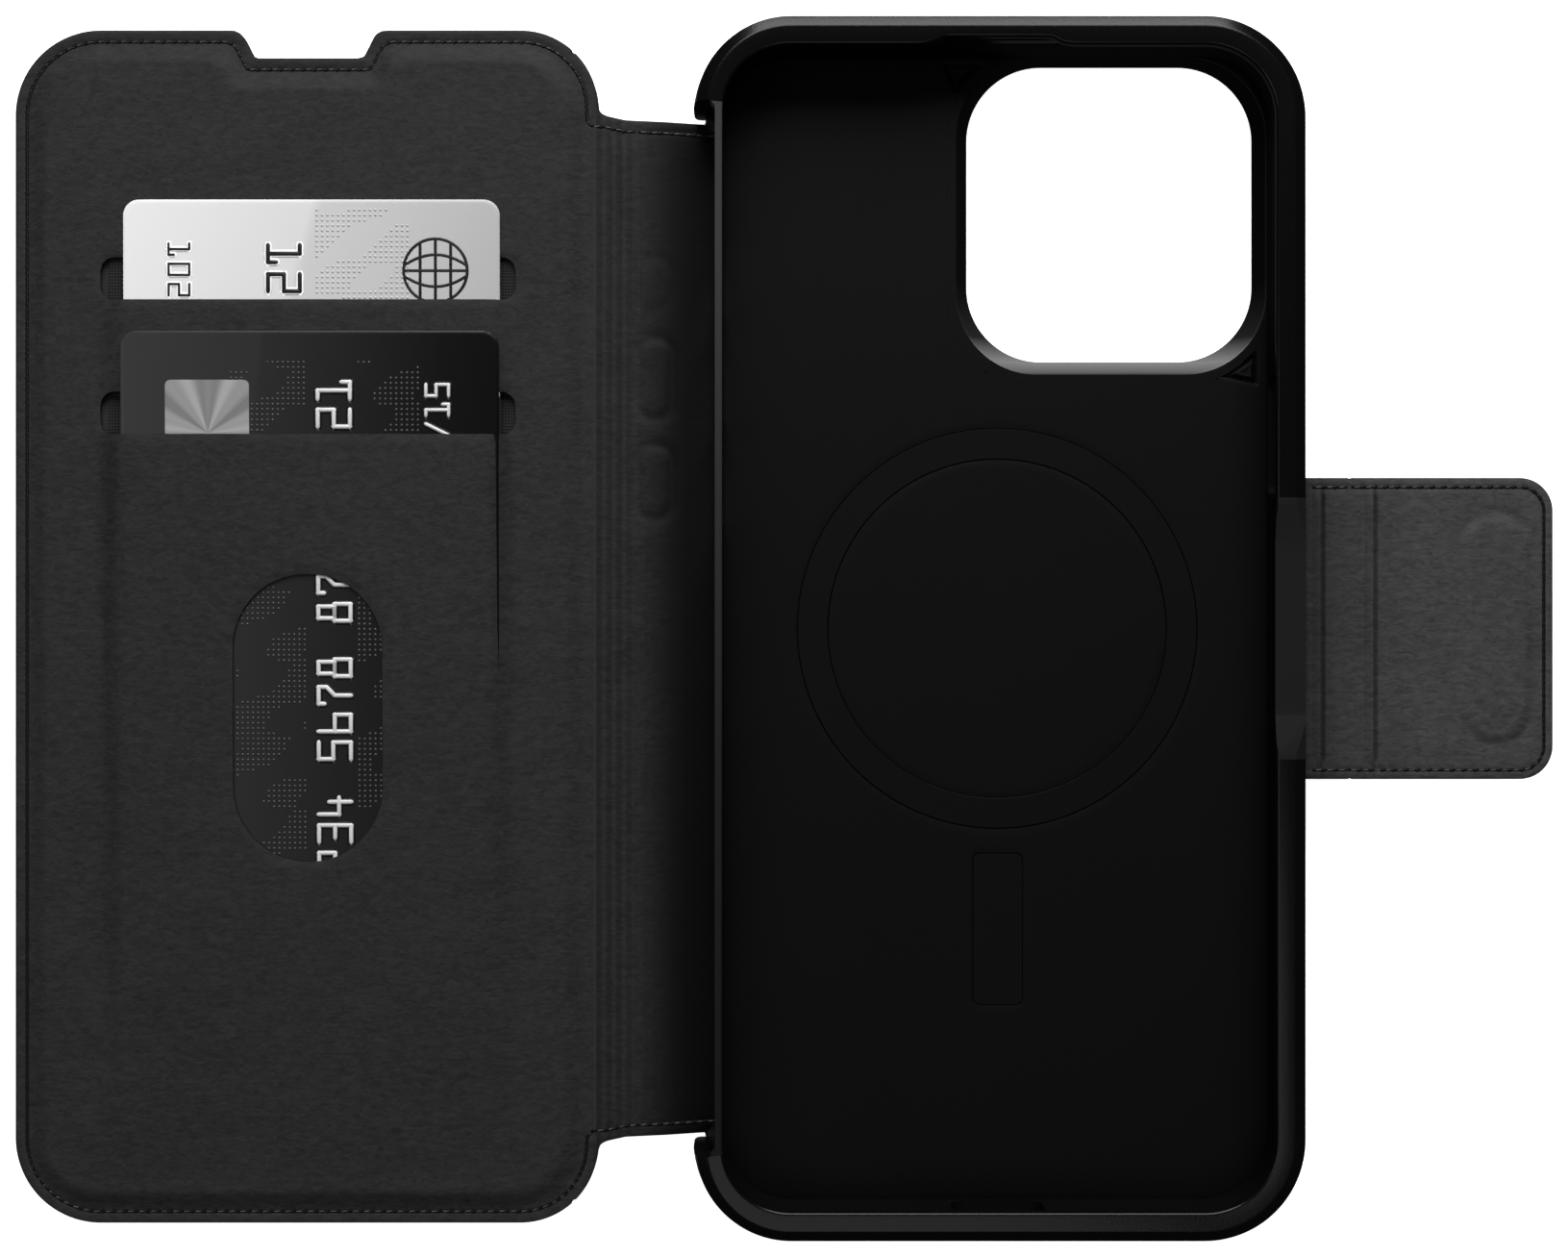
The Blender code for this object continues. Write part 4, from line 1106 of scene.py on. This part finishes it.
STROKES = {
    "0": [[(0, 0), (2, 0), (2, 4), (0, 4), (0, 0)]],
    "1": [[(0, 4), (1, 4), (1, 0)], [(0, 0), (2, 0), (2, 1)]],
    "2": [[(0, 4), (2, 4), (2, 2), (0, 2), (0, 0), (2, 0)]],
    "3": [[(0, 4), (2, 4), (2, 0), (0, 0)], [(0.5, 2), (2, 2)]],
    "4": [[(0, 4), (0, 1.5), (2, 1.5)], [(1.5, 2.7), (1.5, 0)]],
    "5": [[(2, 4), (0, 4), (0, 2.2), (2, 2.2), (2, 0), (0, 0)]],
    "6": [[(0, 4), (0, 0), (2, 0), (2, 2), (0, 2)]],
    "7": [[(0, 3.3), (0, 4), (2, 4), (2, 3), (1, 2), (1, 0)]],
    "8": [[(0.3, 4), (1.7, 4), (1.7, 2), (0.3, 2), (0.3, 4)], [(0, 2), (2, 2), (2, 0), (0, 0), (0, 2)]],
    "/": [[(0, 0), (2, 4)]],
    " ": [],
}


def figures(name, text, card, start, unit, pitch, up, stroke, looks, body):
    """Embossed figures with square shapes. Each is drawn on a grid 2 wide and 4 tall, start is the foot of
    the first, and they read towards +Y if up is 1 or -Y if it is -1. A thin rim round each, in the first of
    its two looks, is painted light: a painted highlight on the silver card, a painted shadow on the black
    one."""
    starts, ends = [], []
    for i, letter in enumerate(text):
        for run in STROKES[letter]:
            spots = [
                (start[0] - up * v * unit[1], start[1] + up * (i * pitch + u * unit[0])) for u, v in run
            ]
            starts += spots[:-1]
            ends += spots[1:]
    starts, ends = ([(px, py, card_plane(card, py) + CARD_T) for px, py in spots] for spots in (starts, ends))
    starts, ends = np.array(starts), np.array(ends)
    # a wider, low copy of each stroke under it, coloured as painted light: a painted highlight round the
    # silver card's figures and a painted shadow round the black card's
    painted_light_rim, painted_light_rim_faces = rods(starts, ends, stroke + 0.24, 0.05)
    core, core_faces = rods(starts, ends, stroke, 0.2)
    faces = painted_light_rim_faces + [[c + len(painted_light_rim) for c in f] for f in core_faces]
    thing = piece(name, np.concatenate([painted_light_rim, core]), faces, looks[0], body)
    thing.data.materials.append(LOOK[looks[1]])
    upper = np.repeat([0, 1], [len(painted_light_rim_faces), len(core_faces)])
    thing.data.polygons.foreach_set("material_index", upper.astype(np.int32))
    return thing


def discs(name, xy, radius, card, look, body, tall=0.02, around=8):
    """Small printed dots as low discs."""
    a = np.linspace(0, 2 * np.pi, around, endpoint=False)
    ring = np.stack([np.cos(a), np.sin(a)], 1)
    flat = xy[:, None, :] + radius * ring[None]
    z = card_plane(card, flat[..., 1]) + CARD_T
    upper = np.concatenate([flat, (z + tall)[..., None]], -1)
    lower = np.concatenate([flat, (z - 0.01)[..., None]], -1)
    points = np.concatenate([upper, lower], 1).reshape(-1, 3)
    k = np.arange(around)
    side = np.stack([(k + 1) % around, k, k + around, (k + 1) % around + around], 1)
    faces = []
    for i in range(len(xy)):
        base = i * 2 * around
        faces.append(list(base + k))
        faces.append(list(base + around + k[::-1]))
        faces.extend((base + side).tolist())
    return piece(name, points, faces, look, body)


def dot_field(x0, x1, y0, y1, level=0.5, pitch=0.75):
    """A generic halftone: a square grid of dots kept where two crossed waves are high."""
    x, y = np.meshgrid(spread(x0, x1, pitch), spread(y0, y1, pitch))
    swell = 0.5 + 0.3 * np.sin(x * 0.41 + 0.9) * np.cos(y * 0.29 + x * 0.11) + 0.2 * np.sin(y * 0.9 - x * 0.5)
    keep = swell > level
    return np.stack([x[keep], y[keep]], 1)


def globe(name, x, y, radius, card, look, body):
    """A plain grid mark: a ring crossed by upright bars, a level bar and two bowed ones."""
    t = np.linspace(0, 2 * np.pi, 49)
    runs = [np.stack([radius * np.cos(t), radius * np.sin(t)], 1)]
    for off in (-0.48, 0.0, 0.48):
        end = math.sqrt(1 - off**2)
        runs.append(np.array([(off, -end), (off, end)]) * radius)
    u = np.linspace(-1, 1, 13)
    for bow, low in ((0.0, 0.0), (0.34, 0.16), (-0.34, -0.16)):
        reach = math.sqrt(1 - low**2)
        runs.append(np.stack([u * reach, low + bow * (1 - u**2)], 1) * radius)
    starts = np.concatenate([r[:-1] for r in runs]) + [x, y]
    ends = np.concatenate([r[1:] for r in runs]) + [x, y]
    starts, ends = (np.column_stack([p, card_plane(card, p[:, 1]) + CARD_T]) for p in (starts, ends))
    points, faces = rods(starts, ends, 0.22, 0.05, 6)
    return piece(name, points, faces, look, body)


def make_cards():
    """Two blank cards with plain raised figures, dots, a grid mark and a square of diffraction foil."""
    upper = card_sheet("card_silver", CARD_UP, "card_light", "card_upper")
    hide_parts("card_upper")
    # the first colour of each pair is the rim's painted light, the second the figures' own
    silver, black = ("painted_highlight_rim", "ink_dark"), ("painted_shadow_rim", "foil")
    count = "1234 5678 8765 4321"
    figures("figures_upper", count, CARD_UP, (-72.6, 54.96), (1.22, 1.14), 4.15, -1, 0.33, silver,
            "card_upper")
    figures("figures_upper_small", "102 3456", CARD_UP, (-86.85, 55.2), (0.8, 0.74), 2.9, -1, 0.19, silver,
            "card_upper")
    discs("dots_upper", dot_field(-65.6, -52.6, 46.0, 60.0, 0.42), 0.2, CARD_UP, "ink_grey", "card_upper")
    globe("mark_upper", -48.6, 51.3, 4.57, CARD_UP, "ink_dark", "card_upper")
    lower = card_sheet("card_black", CARD_LOW, "card_dark", "card_lower")
    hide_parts("card_lower")
    figures("figures_lower", count, CARD_LOW, (-60.6, -38.5), (1.2, 1.15), 3.96, 1, 0.33, black, "card_lower")
    figures("figures_lower_small", "12/15", CARD_LOW, (-46.5, 22.0), (0.8, 0.81), 2.8, 1, 0.26, black,
            "card_lower")
    for name, box in (
        ("dots_lower_a", (-77.6, -67.2, -33.0, 38.0)), ("dots_lower_b", (-59.4, -50.9, -33.0, 38.0)),
    ):
        discs(name, dot_field(*box), 0.2, CARD_LOW, "ink_faint", "card_lower")
    x0, x1, y0, y1 = -87.0, -75.0, 22.0, 35.5

    def foil_plan(x, y):
        """The foil's outline."""
        return round_box(x, y, x0, x1, y0, y1, 0.8)

    def face(x, y, s):
        """The lower card's face."""
        return card_plane(CARD_LOW, y) + CARD_T

    plate("foil_square", spread(x0 - 0.2, x1 + 0.2, 0.3), spread(y0 - 0.2, y1 + 0.2, 0.3), foil_plan,
          lambda x, y, s: face(x, y, s) + 0.03, lambda x, y, s: face(x, y, s) - 0.01,
          "hologram", "card_lower")


# ---------------------------------------------------------------- hidden parts, floor, light, camera
def finish_cad():
    """Finishes for the parts that keep their own solid."""
    looks = {
        "ring_magnet": "magnet", "orientation_magnet_cover": "lid", "orientation_magnet": "magnet",
        "tab_magnet": "magnet", "catch_plate": "steel", "cover_board": "board", "pocket_liner": "woven",
    }
    for name, thing in frame["nodes"].items():
        look = next((v for k, v in looks.items() if name.startswith(k)), None)
        if look and thing.data:
            if not thing.material_slots:
                thing.data.materials.append(LOOK[look])
            for slot in thing.material_slots:
                slot.material = LOOK[look]


def make_stage():
    """A pale sheet under the case, a bright room, and a broad soft light from beyond the camera end."""
    mesh = bpy.data.meshes.new("floor")
    side = 1.5
    corners = [(-side, -side), (side, -side), (side, side), (-side, side)]
    mesh.from_pydata([(x, y, -0.0001) for x, y in corners], [], [(0, 1, 2, 3)])
    paper, _ = new_material(
        "paper", Base_Color=linear("#F6F6F6"), Roughness=0.9, Specular_IOR_Level=0.1,
        Emission_Color=linear("#FFFFFF"), Emission_Strength=0.9,
    )
    mesh.materials.append(paper)
    floor = bpy.data.objects.new("floor", mesh)
    bpy.context.collection.objects.link(floor)
    floor.visible_diffuse = False
    floor.visible_glossy = False
    world = bpy.data.worlds.new("room")
    bpy.context.scene.world = world
    world.use_nodes = True
    back = world.node_tree.nodes["Background"]
    back.inputs["Color"].default_value = (1, 1, 1, 1)
    back.inputs["Strength"].default_value = 0.06
    for name, place, size, power in (
        ("key", (0.05, 0.68, 0.5), 0.62, 12.3), ("left", (-0.75, -0.1, 1.0), 0.6, 2.2),
        ("front", (0.0, -0.4, 1.1), 0.5, 1.3),
    ):
        lamp = bpy.data.lights.new(name, "AREA")
        lamp.size = size
        lamp.energy = power
        thing = bpy.data.objects.new(name, lamp)
        bpy.context.collection.objects.link(thing)
        thing.location = place
        thing.rotation_euler = (-thing.location).to_track_quat("-Z", "Y").to_euler()
    bpy.context.scene.view_settings.view_transform = "Standard"


def make_camera():
    """Straight above the middle of the tray's fold, 300 mm up."""
    lens = bpy.data.cameras.new("camera")
    lens.sensor_width = 36.0
    lens.lens = 47.48
    lens.clip_start = 0.01
    camera = bpy.data.objects.new("camera", lens)
    bpy.context.collection.objects.link(camera)
    camera.location = (1.4 * MM, 0.0, 0.3)
    bpy.context.scene.camera = camera


make_lining()
make_outer_leather()
make_stitching()
make_bumper()
make_shell()
make_surround()
make_lids()
make_tab()
make_cards()
finish_cad()
make_stage()
make_camera()
